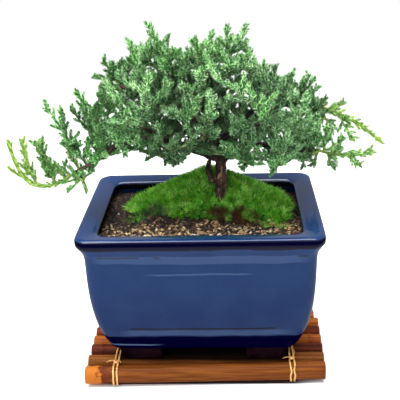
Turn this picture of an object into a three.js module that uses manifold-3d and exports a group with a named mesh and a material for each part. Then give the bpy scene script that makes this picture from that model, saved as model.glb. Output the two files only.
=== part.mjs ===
// A small juniper bonsai in a blue glazed pot, standing on a lashed bamboo raft.
// Millimetres, +Z up. The origin is on the table, under the middle of the pot; -Y is the front.
import * as THREE from "three";
import { mergeVertices } from "three/addons/utils/BufferGeometryUtils.js";
import Module from "manifold-3d";

// ---------- driving dimensions ----------
const potWidth = 152;
const potDepth = 114;
const potHeight = 96; // underside of the feet to the top of the rim
const rimCornerRadius = 9;
const footHeight = 9.5;
const footGapHalfWidth = 29; // between the two feet of a long side, and of a short side
const footGapHalfDepth = 13;
const panelMargin = 25; // from the pot's corner to the raised panel on each side
const panelRise = 0.8;
const drainHoleRadius = 6;
const drainHoleOffset = 15;

const raftLength = 157; // left to right
const raftMiddle = 0.9; // the poles' middle, left to right
const poleCount = 9;
const polePitch = 10.8;
const poleWidth = 9.6;
const poleHeight = 9.5;
const poleTurn = [4.3, 2]; // how far the left ends of the front two poles stand forward
const battenHeight = 3.5;
const battenWidth = 9;
const battenOffset = 58; // left and right of the middle
const strandWidth = 1.3;
const strandThickness = 0.7;
const strandSpread = 1.5; // from the middle of a lashing to each of its two strands
const clearance = 0.3; // between solids that lie against each other

const soilDepthBelowRim = 11;
const moundHeight = 28;
const moundCentre = new THREE.Vector2(6, 12);
const moundReach = { side: 57, front: 26, back: 30 };
const mossThickness = 4.5;

const needleLength = 6.5;
const needleRadius = 0.55;
const shootLength = 13; // a side shoot near the foot of its axis
const shootRadius = 0.72;
const shootSpacing = 5.8; // along an axis, from a side shoot to the needle after it
const axisRadius = 1.45;

// Heights that follow from the above
const raftTop = battenHeight + poleHeight;
const rimTop = raftTop + potHeight;
const bodyBottom = raftTop + footHeight;
const soilLevel = rimTop - soilDepthBelowRim;

// ---------- colours ----------
const finish = (color, roughness) => new THREE.MeshStandardMaterial({ color, roughness, metalness: 0 });
const glaze = finish(0x2c4473, 0.15);
const soilBrown = finish(0x4a3526, 0.95);
const mossGreen = finish(0x3f8a1e, 0.95);
const bark = finish(0x4b3a2e, 0.9);
const bambooBrown = finish(0x8f5a2c, 0.5);
const raffiaStraw = finish(0xd9a85c, 0.7);
const juniperGreen = finish(0x5d8f68, 0.7);
const youngGreen = finish(0xa4c94e, 0.7);

const bonsai = new THREE.Group();

// ---------- solids ----------
const wasm = await Module();
wasm.setup();

function toSolid(geometry) {
  const plain = geometry.clone();
  plain.deleteAttribute("normal");
  plain.deleteAttribute("uv");
  const merged = mergeVertices(plain, 1e-4);
  return new wasm.Manifold(
    new wasm.Mesh({
      numProp: 3,
      vertProperties: merged.attributes.position.array,
      triVerts: new Uint32Array(merged.index.array),
    }),
  );
}

function toGeometry(solid) {
  const mesh = solid.getMesh();
  const geometry = new THREE.BufferGeometry();
  geometry.setAttribute("position", new THREE.BufferAttribute(mesh.vertProperties, 3));
  geometry.setIndex(new THREE.BufferAttribute(mesh.triVerts, 1));
  return geometry;
}

const join = (solids) => solids.reduce((joined, next) => joined.add(next));

// Only the main body of a joined solid: loose scraps are dropped.
function mainBody(solid) {
  const bodies = solid.decompose().sort((a, b) => b.volume() - a.volume());
  return bodies[0];
}

function addPiece(name, geometry, material) {
  const piece = new THREE.Mesh(geometry, material);
  piece.name = name;
  bonsai.add(piece);
  return piece;
}

// A closed skin over a row of rings. Each ring has the same number of points, and turns
// counter-clockwise when it is seen from the end that the rings run towards.
function loft(rings) {
  const sides = rings[0].length;
  const faces = [];
  for (let i = 0; i < rings.length - 1; i += 1) {
    for (let j = 0; j < sides; j += 1) {
      const next = (j + 1) % sides;
      const here = i * sides;
      const above = here + sides;
      faces.push(here + j, here + next, above + next);
      faces.push(here + j, above + next, above + j);
    }
  }
  const last = (rings.length - 1) * sides;
  for (let j = 1; j < sides - 1; j += 1) {
    faces.push(0, j + 1, j);
    faces.push(last, last + j, last + j + 1);
  }
  const geometry = new THREE.BufferGeometry().setFromPoints(rings.flat());
  geometry.setIndex(faces);
  return geometry;
}

// ---------- the pot ----------
// Half the pot's width at each height above the feet: the outside, then the hollow.
const panelBottom = 30;
const panelTop = 71;
const outsideProfile = [
  [footHeight, 59],
  [11.5, 61.2],
  [17, 63.7],
  [29.5, 67.7],
  [30.5, 68],
  [38, 69.5],
  [48, 71],
  [70.5, 71.8],
  [71.5, 71.8],
  [79, 72.1],
  [85.5, 74.3],
  [90.3, 75.9],
  [95, 76],
  [potHeight, 74.9],
];
const hollowProfile = [
  [footHeight + 5, 53],
  [20, 58.8],
  [40, 64.2],
  [60, 66],
  [89, 66.2],
  [93.6, 63.6],
  [potHeight, 65.2],
  [potHeight + 2, 65.2],
];
const footProfile = [[0, 54.6], [1.6, 55.3], [footHeight + 0.5, 58.2]];
const depthLess = (potWidth - potDepth) / 2;

// One side of a rectangle with round corners: its corner's arc, then the stops along it, which are
// pairs of a place from -1 to 1 and a height that the side is raised there.
function rectangleSide(turn, reach, across, radius, z, stops) {
  const points = [];
  const cornerSteps = 3;
  for (let step = 0; step <= cornerSteps; step += 1) {
    const angle = (step / cornerSteps - 1) * (Math.PI / 2);
    points.push([reach - radius + radius * Math.cos(angle), -across + radius + radius * Math.sin(angle)]);
  }
  for (const [place, raised] of stops) points.push([reach + raised, place * (across - panelMargin)]);
  const upright = new THREE.Vector3(0, 0, 1);
  return points.map(([x, y]) => new THREE.Vector3(x, y, z).applyAxisAngle(upright, turn));
}

function potRing(halfWidth, height, stops = []) {
  const halfDepth = halfWidth - depthLess;
  const radius = rimCornerRadius + (halfWidth - potWidth / 2) * 0.1;
  const z = raftTop + height;
  return [0, 1, 2, 3].flatMap((side) =>
    side % 2 === 0
      ? rectangleSide((side * Math.PI) / 2, halfWidth, halfDepth, radius, z, stops)
      : rectangleSide((side * Math.PI) / 2, halfDepth, halfWidth, radius, z, stops),
  );
}

function makePot() {
  const outside = outsideProfile.map(([height, half]) => {
    const raised = height > panelBottom && height < panelTop ? panelRise : 0;
    return potRing(half, height, [[-1, 0], [-0.98, raised], [0.98, raised], [1, 0]]);
  });
  const hollow = hollowProfile.map(([height, half]) => potRing(half, height));
  let pot = toSolid(loft(footProfile.map(([height, half]) => potRing(half, height))));
  const gaps = [
    new THREE.BoxGeometry(2 * footGapHalfWidth, potDepth, 2 * footHeight),
    new THREE.BoxGeometry(potWidth, 2 * footGapHalfDepth, 2 * footHeight),
  ];
  for (const gap of gaps) pot = pot.subtract(toSolid(gap.translate(0, 0, raftTop)));
  pot = pot.add(toSolid(loft(outside))).subtract(toSolid(loft(hollow)));
  for (const side of [-1, 1]) {
    const hole = new THREE.CylinderGeometry(drainHoleRadius, drainHoleRadius, 4 * footHeight, 8);
    hole.rotateX(Math.PI / 2).translate(side * drainHoleOffset, 0, bodyBottom);
    pot = pot.subtract(toSolid(hole));
  }
  return pot;
}

// ---------- soil and moss ----------
function soilTop(x, y) {
  const reach = y < moundCentre.y ? moundReach.front : moundReach.back;
  const away = Math.hypot((x - moundCentre.x) / moundReach.side, (y - moundCentre.y) / reach);
  const crumbs = 0.5 * Math.sin(0.9 * x + 0.4 * y) * Math.cos(0.8 * y - 0.3 * x);
  return soilLevel + moundHeight * Math.max(0, 1 - away) + crumbs;
}

// Rings that shrink from an outline towards the mound's middle and lie on a surface.
function domeRings(outline, shares, surface) {
  return shares.map((share) =>
    outline.map((p) => {
      const x = moundCentre.x + (p.x - moundCentre.x) * share;
      const y = moundCentre.y + (p.y - moundCentre.y) * share;
      return new THREE.Vector3(x, y, surface(x, y, share));
    }),
  );
}

function makeSoil(lift) {
  const stops = [[-0.4, 0], [0.4, 0]];
  const sides = hollowProfile
    .filter(([height]) => height < potHeight - soilDepthBelowRim - 5)
    .map(([height, half]) => potRing(half - clearance, height + clearance, stops));
  const edge = potRing(66.1 - clearance, potHeight - soilDepthBelowRim, stops);
  const top = domeRings(edge, [1, 0.75, 0.4, 0.05], (x, y) => soilTop(x, y) + lift);
  return toSolid(loft([...sides, ...top]));
}

// The edge of the moss cushion, seen from above.
const mossEdge = [
  [-53, 13], [-47, 2], [-34, -3], [-21, -8], [-9, -10], [2, -11], [13, -12], [25, -12], [36, -15],
  [44, -16], [52, -13], [58, -6], [61, 8], [57, 22], [40, 33], [15, 38], [-12, 37], [-35, 32], [-49, 24],
];

function makeMoss(soil) {
  const corners = mossEdge.map(([x, y]) => new THREE.Vector3(x, y, 0));
  const outline = new THREE.CatmullRomCurve3(corners, true).getSpacedPoints(18).slice(0, 18);
  const bumps = (x, y) => 0.7 * Math.sin(0.45 * x) * Math.cos(0.5 * y + 0.2 * x);
  const under = domeRings(outline, [0.1, 1], (x, y) => soilTop(x, y) - 2.5);
  const top = domeRings(outline, [1, 0.94, 0.5, 0.05], (x, y, share) => {
    const edge = share > 0.99 ? 0.35 : 1;
    return soilTop(x, y) + (mossThickness + bumps(x, y)) * edge;
  });
  return toSolid(loft([...under, ...top])).subtract(soil);
}

// ---------- trunk and branches ----------
// Each limb is a row of points with the wood's radius at each: [x, y, z, radius].
const limbs = {
  trunk: [
    [12.4, 0, 82, 4.2], [12.6, 0, 98, 5.2], [12.2, -0.4, 108, 4.8], [12.4, -0.4, 116, 3.9], [13.4, 0, 124, 4.3],
    [13, 0.4, 131, 3.8], [13.3, 0.6, 138, 4], [13.2, 2, 146, 3.6], [11, 5, 153.5, 3], [7, 7, 163, 2.5],
    [4, 6, 174, 2.1], [5, 4, 186, 1.6], [6, 4, 195, 1.2],
  ],
  root: [[12.4, 0.6, 104, 3], [9.4, 3.4, 115, 2.6], [6.2, 6.4, 125, 2.4], [4.6, 7.6, 131, 2.2], [5.4, 7.8, 136, 1.6]],
  leftLow: [
    [12, 0, 141, 3.4], [-1.7, -5, 148, 3], [-18.3, -9, 154, 2.5], [-36.7, -12, 157.5, 2.2], [-50.6, -13, 155, 1.9],
    [-59.8, -14, 148.8, 1.7], [-67.7, -15, 143.6, 1.5], [-78.4, -15, 138.4, 1.2],
  ],
  leftHigh: [[10, 5, 155, 2.3], [-4, 4, 166, 1.9], [-22, 2, 175, 1.6], [-38, 0, 183, 1.4], [-48, -2, 190, 1.1]],
  rightLow: [
    [13.4, 1, 143, 2.8], [24, -5, 150, 2.3], [38, -10, 152.5, 2], [52, -13, 152, 1.7], [64, -15, 150, 1.4],
    [74, -16, 150, 1.1],
  ],
  rightHigh: [[12.5, 4, 149, 2.6], [24, 9, 158, 2.1], [40, 12, 166, 1.7], [54, 14, 171, 1.5], [66, 15, 172, 1.2]],
  rightMiddle: [[12.5, 4, 151, 2.2], [26, 0, 164, 1.8], [37, -4, 176, 1.5], [44, -8, 186, 1.1]],
  front: [[13.2, 1, 147, 2.2], [10, -12, 158, 1.8], [3, -25, 170, 1.4], [-2, -34, 178, 1.1]],
  frontRight: [[13, 3, 149, 2.2], [22, -10, 160, 1.7], [31, -22, 168, 1.4], [38, -30, 172, 1.1]],
  frontLeft: [[-17, -8.6, 153.6, 2], [-24, -20, 163, 1.5], [-32, -31, 171, 1.1]],
  back: [[12, 4, 151, 2.4], [14, 20, 162, 1.9], [13, 34, 170, 1.5], [11, 44, 175, 1.1]],
  backLeft: [[9, 6, 158, 2.2], [-8, 20, 168, 1.7], [-26, 32, 173, 1.4], [-42, 38, 173, 1.1]],
  backRight: [[13, 4, 148, 2.2], [28, 20, 158, 1.7], [43, 30, 164, 1.4], [55, 36, 166, 1.1]],
  topLeft: [[4.3, 6, 172, 1.9], [-8, 5, 187, 1.5], [-17, 3, 199, 1.1]],
  topRight: [[4.6, 5, 177, 1.9], [14, 4, 190, 1.5], [21, 2, 200, 1.1]],
};

const limbCurve = (points) =>
  new THREE.CatmullRomCurve3(points.map(([x, y, z]) => new THREE.Vector3(x, y, z)), false, "catmullrom", 0.5);

function radiusAlong(radii, t) {
  const place = Math.min(t, 0.999999) * (radii.length - 1);
  const low = Math.floor(place);
  return radii[low] + (radii[low + 1] - radii[low]) * (place - low);
}

// A round, tapering stem along points, each with its radius.
function stem(points, radii, sides) {
  let across = new THREE.Vector3(0, 0, 1);
  const rings = points.map((point, i) => {
    const along = points[Math.min(i + 1, points.length - 1)].clone().sub(points[Math.max(i - 1, 0)]).normalize();
    if (i === 0 && Math.abs(along.z) > 0.8) across.set(1, 0, 0);
    across = across.sub(along.clone().multiplyScalar(across.dot(along))).normalize();
    const other = along.clone().cross(across);
    return Array.from({ length: sides }, (_, side) => {
      const angle = (side * 2 * Math.PI) / sides;
      return point
        .clone()
        .addScaledVector(across, radii[i] * Math.cos(angle))
        .addScaledVector(other, radii[i] * Math.sin(angle));
    });
  });
  return toSolid(loft(rings));
}

const limbSteps = (points) => (points.length - 1) * (points === limbs.trunk ? 2 : 1);

function limbSolid(points, grow) {
  const steps = limbSteps(points);
  const path = limbCurve(points).getPoints(steps);
  const radii = points.map((p) => p[3] + grow);
  const sizes = path.map((_, i) => radiusAlong(radii, i / steps));
  // a blunt, rounded end
  const end = path.at(-1);
  const heading = end.clone().sub(path.at(-2)).normalize();
  path.push(end.clone().addScaledVector(heading, radii.at(-1) * 0.8));
  sizes.push(radii.at(-1) * 0.5);
  return stem(path, sizes, points === limbs.trunk ? 8 : 5);
}

// ---------- where the foliage grows ----------
const random = (seed) => {
  let state = seed;
  return () => {
    state = (Math.imul(state, 1664525) + 1013904223) >>> 0;
    return state / 4294967296;
  };
};

// A spray of foliage: the limb it grows on, how far along, and its leafy axes. An axis runs to its tip,
// from the limb or from a share of the way along the first axis, and by a bend if one is given.
const axis = (tip, from = 0, bend = null) => ({ tip, from, bend });
const sprays = {
  left_tip: ["leftLow", 1, [
    axis([-119.5, -15, 162.8], 0, [-115, -15, 111]), axis([-111.7, -10, 159.7], 0.42, [-112, -11, 140]),
    axis([-96.3, -24, 163.9], 0.2, [-96, -20, 144]),
  ]],
  left_drop: ["leftLow", 0.97, [axis([-71, -22, 127.6]), axis([-84, -23, 129], 0.3)]],
  left_fan: ["leftLow", 0.9, [axis([-94, -18, 186.7], 0, [-80, -20, 160]), axis([-83, -28, 163], 0.3)]],
  left_rise: ["leftLow", 0.8, [axis([-75, -9, 190.5], 0, [-66, -8, 168]), axis([-70, -2, 172], 0.4)]],
  left_shoulder: ["leftHigh", 1, [axis([-57.6, -5, 209.3]), axis([-63.5, -10, 199], 0.3)]],
  left_front: ["leftLow", 0.7, [axis([-64, -24, 184], 0, [-58, -22, 166]), axis([-58, -36, 166], 0.35)]],
  left_front_low: ["leftLow", 0.56, [axis([-47, -30, 177]), axis([-43, -33, 155], 0.35)]],
  left_under: ["leftLow", 0.35, [axis([-18.5, -23, 147]), axis([-33, -24, 150], 0.4)]],
  left_inner_top: ["leftHigh", 0.7, [axis([-43.9, 10, 216.8], 0, [-34, 8, 196]), axis([-31, 14, 205], 0.4)]],
  left_inner_front: ["leftHigh", 0.5, [axis([-33, -24, 203]), axis([-42, -22, 193], 0.4)]],
  left_back: ["leftHigh", 0.85, [axis([-56, 24, 200]), axis([-62, 14, 188], 0.4)]],
  left_low_back: ["leftLow", 0.48, [axis([-46, 16, 160]), axis([-36, 14, 150], 0.4)]],
  peak_left: ["topLeft", 1, [axis([-28.9, 0, 228.2]), axis([-18, 9, 220], 0.25)]],
  peak_left_front: ["topLeft", 0.55, [axis([-19.5, -30, 212.4]), axis([-7, -27, 205], 0.4)]],
  peak_middle: ["trunk", 1, [axis([-1.5, -5, 220.2]), axis([9.5, 10, 222], 0.3)]],
  peak_right: ["topRight", 1, [axis([18.1, -1, 227]), axis([31, 13, 224.4], 0.3)]],
  peak_right_front: ["topRight", 0.55, [axis([30.3, -16, 211.7]), axis([19, -28, 207], 0.4)]],
  peak_back: ["trunk", 0.9, [axis([-4, 34, 213]), axis([16, 36, 209], 0.35)]],
  peak_front: ["trunk", 0.84, [axis([3.4, -42, 210]), axis([-8, -38, 199], 0.4)]],
  right_shoulder: ["rightMiddle", 1, [axis([47.4, -16, 205.2]), axis([58, -22, 192], 0.3)]],
  right_shoulder_back: ["rightHigh", 0.45, [axis([42, 14, 200], 0, [36, 14, 184]), axis([32, 24, 193], 0.5)]],
  right_crest: ["rightHigh", 0.68, [axis([59, 5, 195.5]), axis([55, 20, 190], 0.35)]],
  right_rise: ["rightHigh", 0.92, [axis([69.8, 10, 193]), axis([76, 2, 187], 0.35)]],
  right_tip: ["rightHigh", 1, [
    axis([119.6, 15, 143.1], 0, [98, 15, 165]), axis([81.4, 9, 177.5], 0.12), axis([94.4, 21, 171.3], 0.28),
    axis([99, 6, 150], 0.4),
  ]],
  right_low_tip: ["rightLow", 1, [
    axis([107.9, -16, 149], 0, [92, -17, 144]), axis([88.5, -19, 161], 0.25), axis([83, -24, 141], 0.15),
    axis([99, -24, 143], 0.5),
  ]],
  right_low_rise: ["rightLow", 0.85, [axis([68, -22, 168]), axis([62.5, -28, 143], 0.2)]],
  right_low_middle: ["rightLow", 0.6, [axis([44, -34, 142]), axis([56, -36, 158], 0.4)]],
  right_low_front: ["rightLow", 0.3, [axis([26.4, -36, 146]), axis([24, -49, 162], 0.4)]],
  front_right: ["frontRight", 1, [axis([51, -50, 177]), axis([38, -58, 188], 0.3)]],
  front_right_inner: ["frontRight", 0.6, [axis([25, -50, 178], 0, [28, -36, 166]), axis([37, -44, 160], 0.4)]],
  front_middle: ["front", 1, [axis([-14, -58, 189]), axis([3, -61, 197], 0.3)]],
  front_low: ["front", 0.6, [axis([11.5, -52, 172]), axis([-3, -46, 167], 0.4)]],
  front_left: ["frontLeft", 1, [axis([-40, -48, 186]), axis([-26, -54, 199], 0.3)]],
  front_left_low: ["frontLeft", 0.5, [axis([-26, -44, 163]), axis([-42, -44, 169], 0.4)]],
  back_middle: ["back", 1, [axis([4, 61, 192]), axis([22, 58, 186], 0.3)]],
  back_low: ["back", 0.6, [axis([22, 50, 163]), axis([2, 48, 160], 0.35)]],
  back_left: ["backLeft", 1, [axis([-64, 44, 180]), axis([-52, 54, 176], 0.3)]],
  back_left_inner: ["backLeft", 0.6, [axis([-28, 46, 198], 0, [-22, 36, 184]), axis([-30, 54, 176], 0.4)]],
  back_right: ["backRight", 1, [axis([76, 42, 174]), axis([68, 52, 164], 0.3)]],
  back_right_inner: ["backRight", 0.6, [axis([46, 42, 190], 0, [40, 36, 178]), axis([44, 52, 164], 0.35)]],
};
const youngSprays = ["left_tip", "right_tip", "right_low_tip", "left_drop"];

// Closest distance between two straight stretches of stem.
function stretchDistance(a, b) {
  const along = a.end.clone().sub(a.start);
  const other = b.end.clone().sub(b.start);
  const between = a.start.clone().sub(b.start);
  const aa = along.dot(along);
  const bb = other.dot(other);
  const ab = along.dot(other);
  const ar = along.dot(between);
  const br = other.dot(between);
  const clamp = (value) => Math.min(1, Math.max(0, value));
  const spread = aa * bb - ab * ab;
  let s = spread > 1e-9 ? clamp((ab * br - ar * bb) / spread) : 0;
  let t = (ab * s + br) / bb;
  if (t < 0) {
    t = 0;
    s = clamp(-ar / aa);
  } else if (t > 1) {
    t = 1;
    s = clamp((ab - ar) / aa);
  }
  return between.addScaledVector(along, s).addScaledVector(other, -t).length();
}

const gapTo = (stretch, others) =>
  others.reduce((least, o) => Math.min(least, stretchDistance(stretch, o) - o.radius - stretch.radius), Infinity);

function stretches(points, radii, owner) {
  return points.slice(1).map((end, i) => ({ start: points[i], end, radius: Math.max(radii[i], radii[i + 1]), owner }));
}

const woodStretches = Object.values(limbs).flatMap((points) => {
  const steps = limbSteps(points);
  const radii = points.map((p) => p[3]);
  const path = limbCurve(points).getPoints(steps);
  return stretches(path, path.map((_, i) => radiusAlong(radii, i / steps)), "wood");
});

// The leafy axes of every spray. Each first one begins inside its limb.
const axisSteps = 3;
function layAxes() {
  const laid = [];
  for (const [name, [limb, at, axes]] of Object.entries(sprays)) {
    let first = null;
    axes.forEach((wanted, index) => {
      const start = index === 0 ? limbCurve(limbs[limb]).getPoint(at) : first.getPoint(wanted.from);
      const tip = new THREE.Vector3(...wanted.tip);
      const sag = start.clone().lerp(tip, 0.5);
      sag.z -= 0.16 * start.distanceTo(tip);
      const bend = wanted.bend ? new THREE.Vector3(...wanted.bend) : sag;
      const curve = new THREE.QuadraticBezierCurve3(start, bend, tip);
      if (index === 0) first = curve;
      const points = curve.getPoints(axisSteps);
      const radii = points.map((_, i) => axisRadius * (1 - 0.35 * (i / axisSteps)));
      if (index === 0) radii[0] = 0.8;
      radii[axisSteps] = 0.1;
      laid.push({ spray: name, curve, points, radii, length: curve.getLength() });
    });
  }
  return laid;
}

const axes = layAxes();
const occupied = [...woodStretches, ...axes.flatMap((a) => stretches(a.points, a.radii, a.spray))];

// Two directions across a stem, the first as near upright as can be.
function sideways(along) {
  const up = Math.abs(along.z) > 0.95 ? new THREE.Vector3(0, 1, 0) : new THREE.Vector3(0, 0, 1);
  const first = up.sub(along.clone().multiplyScalar(up.dot(along))).normalize();
  return [first, along.clone().cross(first)];
}

// A direction that leans away from a stem, turned round it.
function leaning(along, lean, turn) {
  const [first, second] = sideways(along);
  return along
    .clone()
    .multiplyScalar(Math.cos(lean))
    .addScaledVector(first, Math.sin(lean) * Math.cos(turn))
    .addScaledVector(second, Math.sin(lean) * Math.sin(turn))
    .normalize();
}

const goldenTurn = (137.5 * Math.PI) / 180;
// Side shoots and needles stand round each axis in turn, out to its tip. One that would meet another
// spray or the wood is left out.
function layShoots() {
  const draw = random(20407);
  const shoots = [];
  for (const a of axes) {
    const count = Math.max(4, Math.round(a.length / shootSpacing));
    for (let k = 0; k < count; k += 1) {
      const share = 0.14 + (0.78 * (k + 0.5)) / count;
      const isShoot = k % 2 === 0 && share < 0.8;
      const reach = isShoot ? shootLength * (1 - 0.4 * share) : needleLength;
      const length = reach * (0.9 + 0.2 * draw());
      const radius = isShoot ? shootRadius * (1 - 0.25 * share) : needleRadius;
      const start = a.curve.getPoint(share);
      const heading = leaning(a.curve.getTangent(share), 0.8, k * goldenTurn + 0.8 * (draw() - 0.5));
      heading.z += 0.2;
      const end = start.clone().addScaledVector(heading.normalize(), length);
      const shoot = { start, end, radius, owner: a.spray, heading, length };
      const others = occupied.filter((o) => o.owner !== a.spray);
      if (gapTo(shoot, others) < clearance) continue;
      shoots.push(shoot);
      occupied.push(shoot);
    }
  }
  return shoots;
}
const shoots = layShoots();

// ---------- foliage solids ----------
function spike(start, heading, length, radius) {
  const cone = new THREE.ConeGeometry(radius, length, 3);
  cone.translate(0, length / 2, 0);
  cone.applyQuaternion(new THREE.Quaternion().setFromUnitVectors(new THREE.Vector3(0, 1, 0), heading));
  return toSolid(cone.translate(start.x, start.y, start.z));
}

// A spray is cut back to stand just off the wood that carries it.
function makeSpray(name, woodRoom) {
  const stems = axes.filter((a) => a.spray === name).map((a) => stem(a.points, a.radii, 3));
  const spikes = shoots.filter((s) => s.owner === name);
  const grown = join([...stems, ...spikes.map((s) => spike(s.start, s.heading, s.length, s.radius))]);
  return mainBody(grown.subtract(woodRoom));
}

// ---------- the bamboo raft ----------
// Half a split pole's section as shares of its half width and height, from its flat underside to the
// flat along its top.
const poleSection = [[0.97, 0], [1, 0.22], [0.93, 0.55], [0.68, 0.86], [0.26, 1]];
// A pole's middle, front to back, at a place along it.
const poleY = (index, x = 0) =>
  (index - (poleCount - 1) / 2) * polePitch - (poleTurn[index] ?? 0) * (0.5 - x / raftLength);

// Poles differ a little in length, and each has a swollen node near one end.
function makePole(index) {
  const draw = random(311 + index);
  const left = raftMiddle - raftLength / 2 + 2.4 * (draw() - 0.5);
  const right = raftMiddle + raftLength / 2 + 2.4 * (draw() - 0.5);
  const node = index % 2 === 0 ? left + 6 + 3 * draw() : right - 6 - 3 * draw();
  const section = [...poleSection, ...poleSection.map(([y, z]) => [-y, z]).reverse()];
  const ring = ([x, swell]) =>
    section.map(([y, z]) => {
      const height = poleHeight * z * (z > 0.1 ? swell : 1);
      return new THREE.Vector3(x, poleY(index, x) + (poleWidth / 2) * y * swell, battenHeight + height);
    });
  return loft([[left, 1], [node - 1.6, 1], [node, 1.04], [node + 1.6, 1], [right, 1]].map(ring));
}

const grooveDepth = strandThickness + 0.5;
// A flat batten with two grooves along its underside, which the strands lie in.
function makeBatten(side) {
  const half = battenWidth / 2;
  const shape = new THREE.Shape();
  shape.moveTo(-half, 0);
  for (const strand of [-strandSpread, strandSpread]) {
    const halfGroove = strandWidth / 2 + clearance;
    shape.lineTo(strand - halfGroove, 0).lineTo(strand - halfGroove, grooveDepth);
    shape.lineTo(strand + halfGroove, grooveDepth).lineTo(strand + halfGroove, 0);
  }
  shape.lineTo(half, 0).lineTo(half, battenHeight).lineTo(-half, battenHeight);
  const back = poleY(poleCount - 1) + poleWidth / 2 - 0.5;
  const front = poleY(0, side * battenOffset) - poleWidth / 2 + 0.5;
  const batten = new THREE.ExtrudeGeometry(shape, { depth: back - front, bevelEnabled: false });
  return batten.rotateX(Math.PI / 2).translate(side * battenOffset, back, 0);
}

// A strand's outline, seen from the raft's end: round the front and back poles and under the battens.
function strandOutline(side, grow, low) {
  const half = [[0.97, low], ...poleSection.slice(1).map(([y, z]) => [y, battenHeight + z * (poleHeight + grow)])];
  const reach = (y) => (poleWidth / 2) * y + grow;
  const back = half.map(([y, z]) => new THREE.Vector2(poleY(poleCount - 1) + reach(y), z));
  const front = half.map(([y, z]) => new THREE.Vector2(poleY(0, side * battenOffset) - reach(y), z));
  return [...back, ...front.reverse()];
}

function makeLashing(side) {
  const low = 0.2; // above the table
  const shape = new THREE.Shape(strandOutline(side, clearance + strandThickness, low));
  shape.holes.push(new THREE.Path(strandOutline(side, clearance, low + strandThickness)));
  // the outline's x and y become y and z
  const standing = new THREE.Matrix4().set(0, 0, 1, 0, 1, 0, 0, 0, 0, 1, 0, 0, 0, 0, 0, 1);
  const solids = [-strandSpread, strandSpread].map((strand) => {
    const loop = new THREE.ExtrudeGeometry(shape, { depth: strandWidth, bevelEnabled: false });
    loop.translate(0, 0, -strandWidth / 2).applyMatrix4(standing);
    return toSolid(loop.translate(side * battenOffset + strand, 0, 0));
  });
  // the knot lies between the two front poles, with two short tails
  const seam = (poleY(0, side * battenOffset) + poleY(1, side * battenOffset)) / 2;
  const knotPlace = new THREE.Vector3(side * battenOffset, seam, raftTop + clearance + strandThickness);
  const knot = new THREE.SphereGeometry(1, 6, 3).scale(2.6, 1.6, 1.2);
  solids.push(toSolid(knot.translate(...knotPlace.toArray())));
  for (const [outward, length] of [[1, 9], [-1, 7.5]]) {
    const heading = new THREE.Vector3(outward * side, 0.05, 0.1).normalize();
    solids.push(spike(knotPlace, heading, length, 0.7));
  }
  return join(solids);
}

// ---------- putting it together ----------
const wood = (grow) => join(Object.values(limbs).map((points) => limbSolid(points, grow)));
const woodRoom = wood(clearance);
const stemHole = join([limbSolid(limbs.trunk, clearance), limbSolid(limbs.root, clearance)]);

addPiece("pot", toGeometry(makePot()), glaze);
addPiece("soil", toGeometry(makeSoil(0).subtract(stemHole)), soilBrown);
addPiece("moss", toGeometry(mainBody(makeMoss(makeSoil(clearance)).subtract(stemHole))), mossGreen);
addPiece("trunk_and_branches", toGeometry(wood(0)), bark);
for (const name of Object.keys(sprays)) {
  const green = youngSprays.includes(name) ? youngGreen : juniperGreen;
  addPiece("spray_" + name, toGeometry(makeSpray(name, woodRoom)), green);
}
for (let index = 0; index < poleCount; index += 1) {
  addPiece("bamboo_pole_" + (index + 1), makePole(index), bambooBrown);
}
for (const [name, side] of [["left", -1], ["right", 1]]) {
  addPiece("batten_" + name, makeBatten(side), bambooBrown);
  addPiece("raffia_" + name, toGeometry(makeLashing(side)), raffiaStraw);
}

export default bonsai;
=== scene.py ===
import math
import random
from contextlib import contextmanager

import bpy
from mathutils import Matrix, Vector
from mathutils.bvhtree import BVHTree
from mathutils.kdtree import KDTree


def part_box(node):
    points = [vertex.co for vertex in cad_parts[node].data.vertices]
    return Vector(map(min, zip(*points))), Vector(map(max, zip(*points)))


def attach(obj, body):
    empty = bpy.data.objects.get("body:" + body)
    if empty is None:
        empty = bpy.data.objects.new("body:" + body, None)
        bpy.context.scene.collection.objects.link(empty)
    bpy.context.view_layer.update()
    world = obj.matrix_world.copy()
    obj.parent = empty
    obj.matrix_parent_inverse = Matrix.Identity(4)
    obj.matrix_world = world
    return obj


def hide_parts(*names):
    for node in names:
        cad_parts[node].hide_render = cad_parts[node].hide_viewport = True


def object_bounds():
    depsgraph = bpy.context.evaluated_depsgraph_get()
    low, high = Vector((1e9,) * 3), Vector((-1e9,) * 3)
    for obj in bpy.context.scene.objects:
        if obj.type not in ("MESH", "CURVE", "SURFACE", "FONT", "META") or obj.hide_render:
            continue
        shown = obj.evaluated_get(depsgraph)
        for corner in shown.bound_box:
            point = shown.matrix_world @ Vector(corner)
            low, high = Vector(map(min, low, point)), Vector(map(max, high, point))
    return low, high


# A small juniper bonsai in a blue glazed pot, on a lashed bamboo raft.
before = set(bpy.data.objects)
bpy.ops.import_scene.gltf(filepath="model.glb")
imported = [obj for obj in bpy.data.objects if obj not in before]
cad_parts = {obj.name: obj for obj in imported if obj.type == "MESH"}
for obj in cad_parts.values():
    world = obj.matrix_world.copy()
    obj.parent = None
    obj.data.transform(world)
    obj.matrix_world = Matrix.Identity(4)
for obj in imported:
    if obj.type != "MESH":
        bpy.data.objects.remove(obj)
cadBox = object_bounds()
mm = 0.001  # pieces are modelled in millimetres and made metres when they are finished
fullTurn = 2 * math.pi
print("frame loaded,", len(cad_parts), "solids")

# The camera, the floor and the light.
cameraPlan = {
    "place": (20.8, -457.1, 301.0),
    "pitch": 22.5,  # degrees under the horizon
    "turn": 2.74,
    "roll": -1.9,
    "focalPixels": 749.0,
    "framePixels": 400.0,
    "sensor": 36.0,
    "nearest": 0.01,  # metres
}


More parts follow.
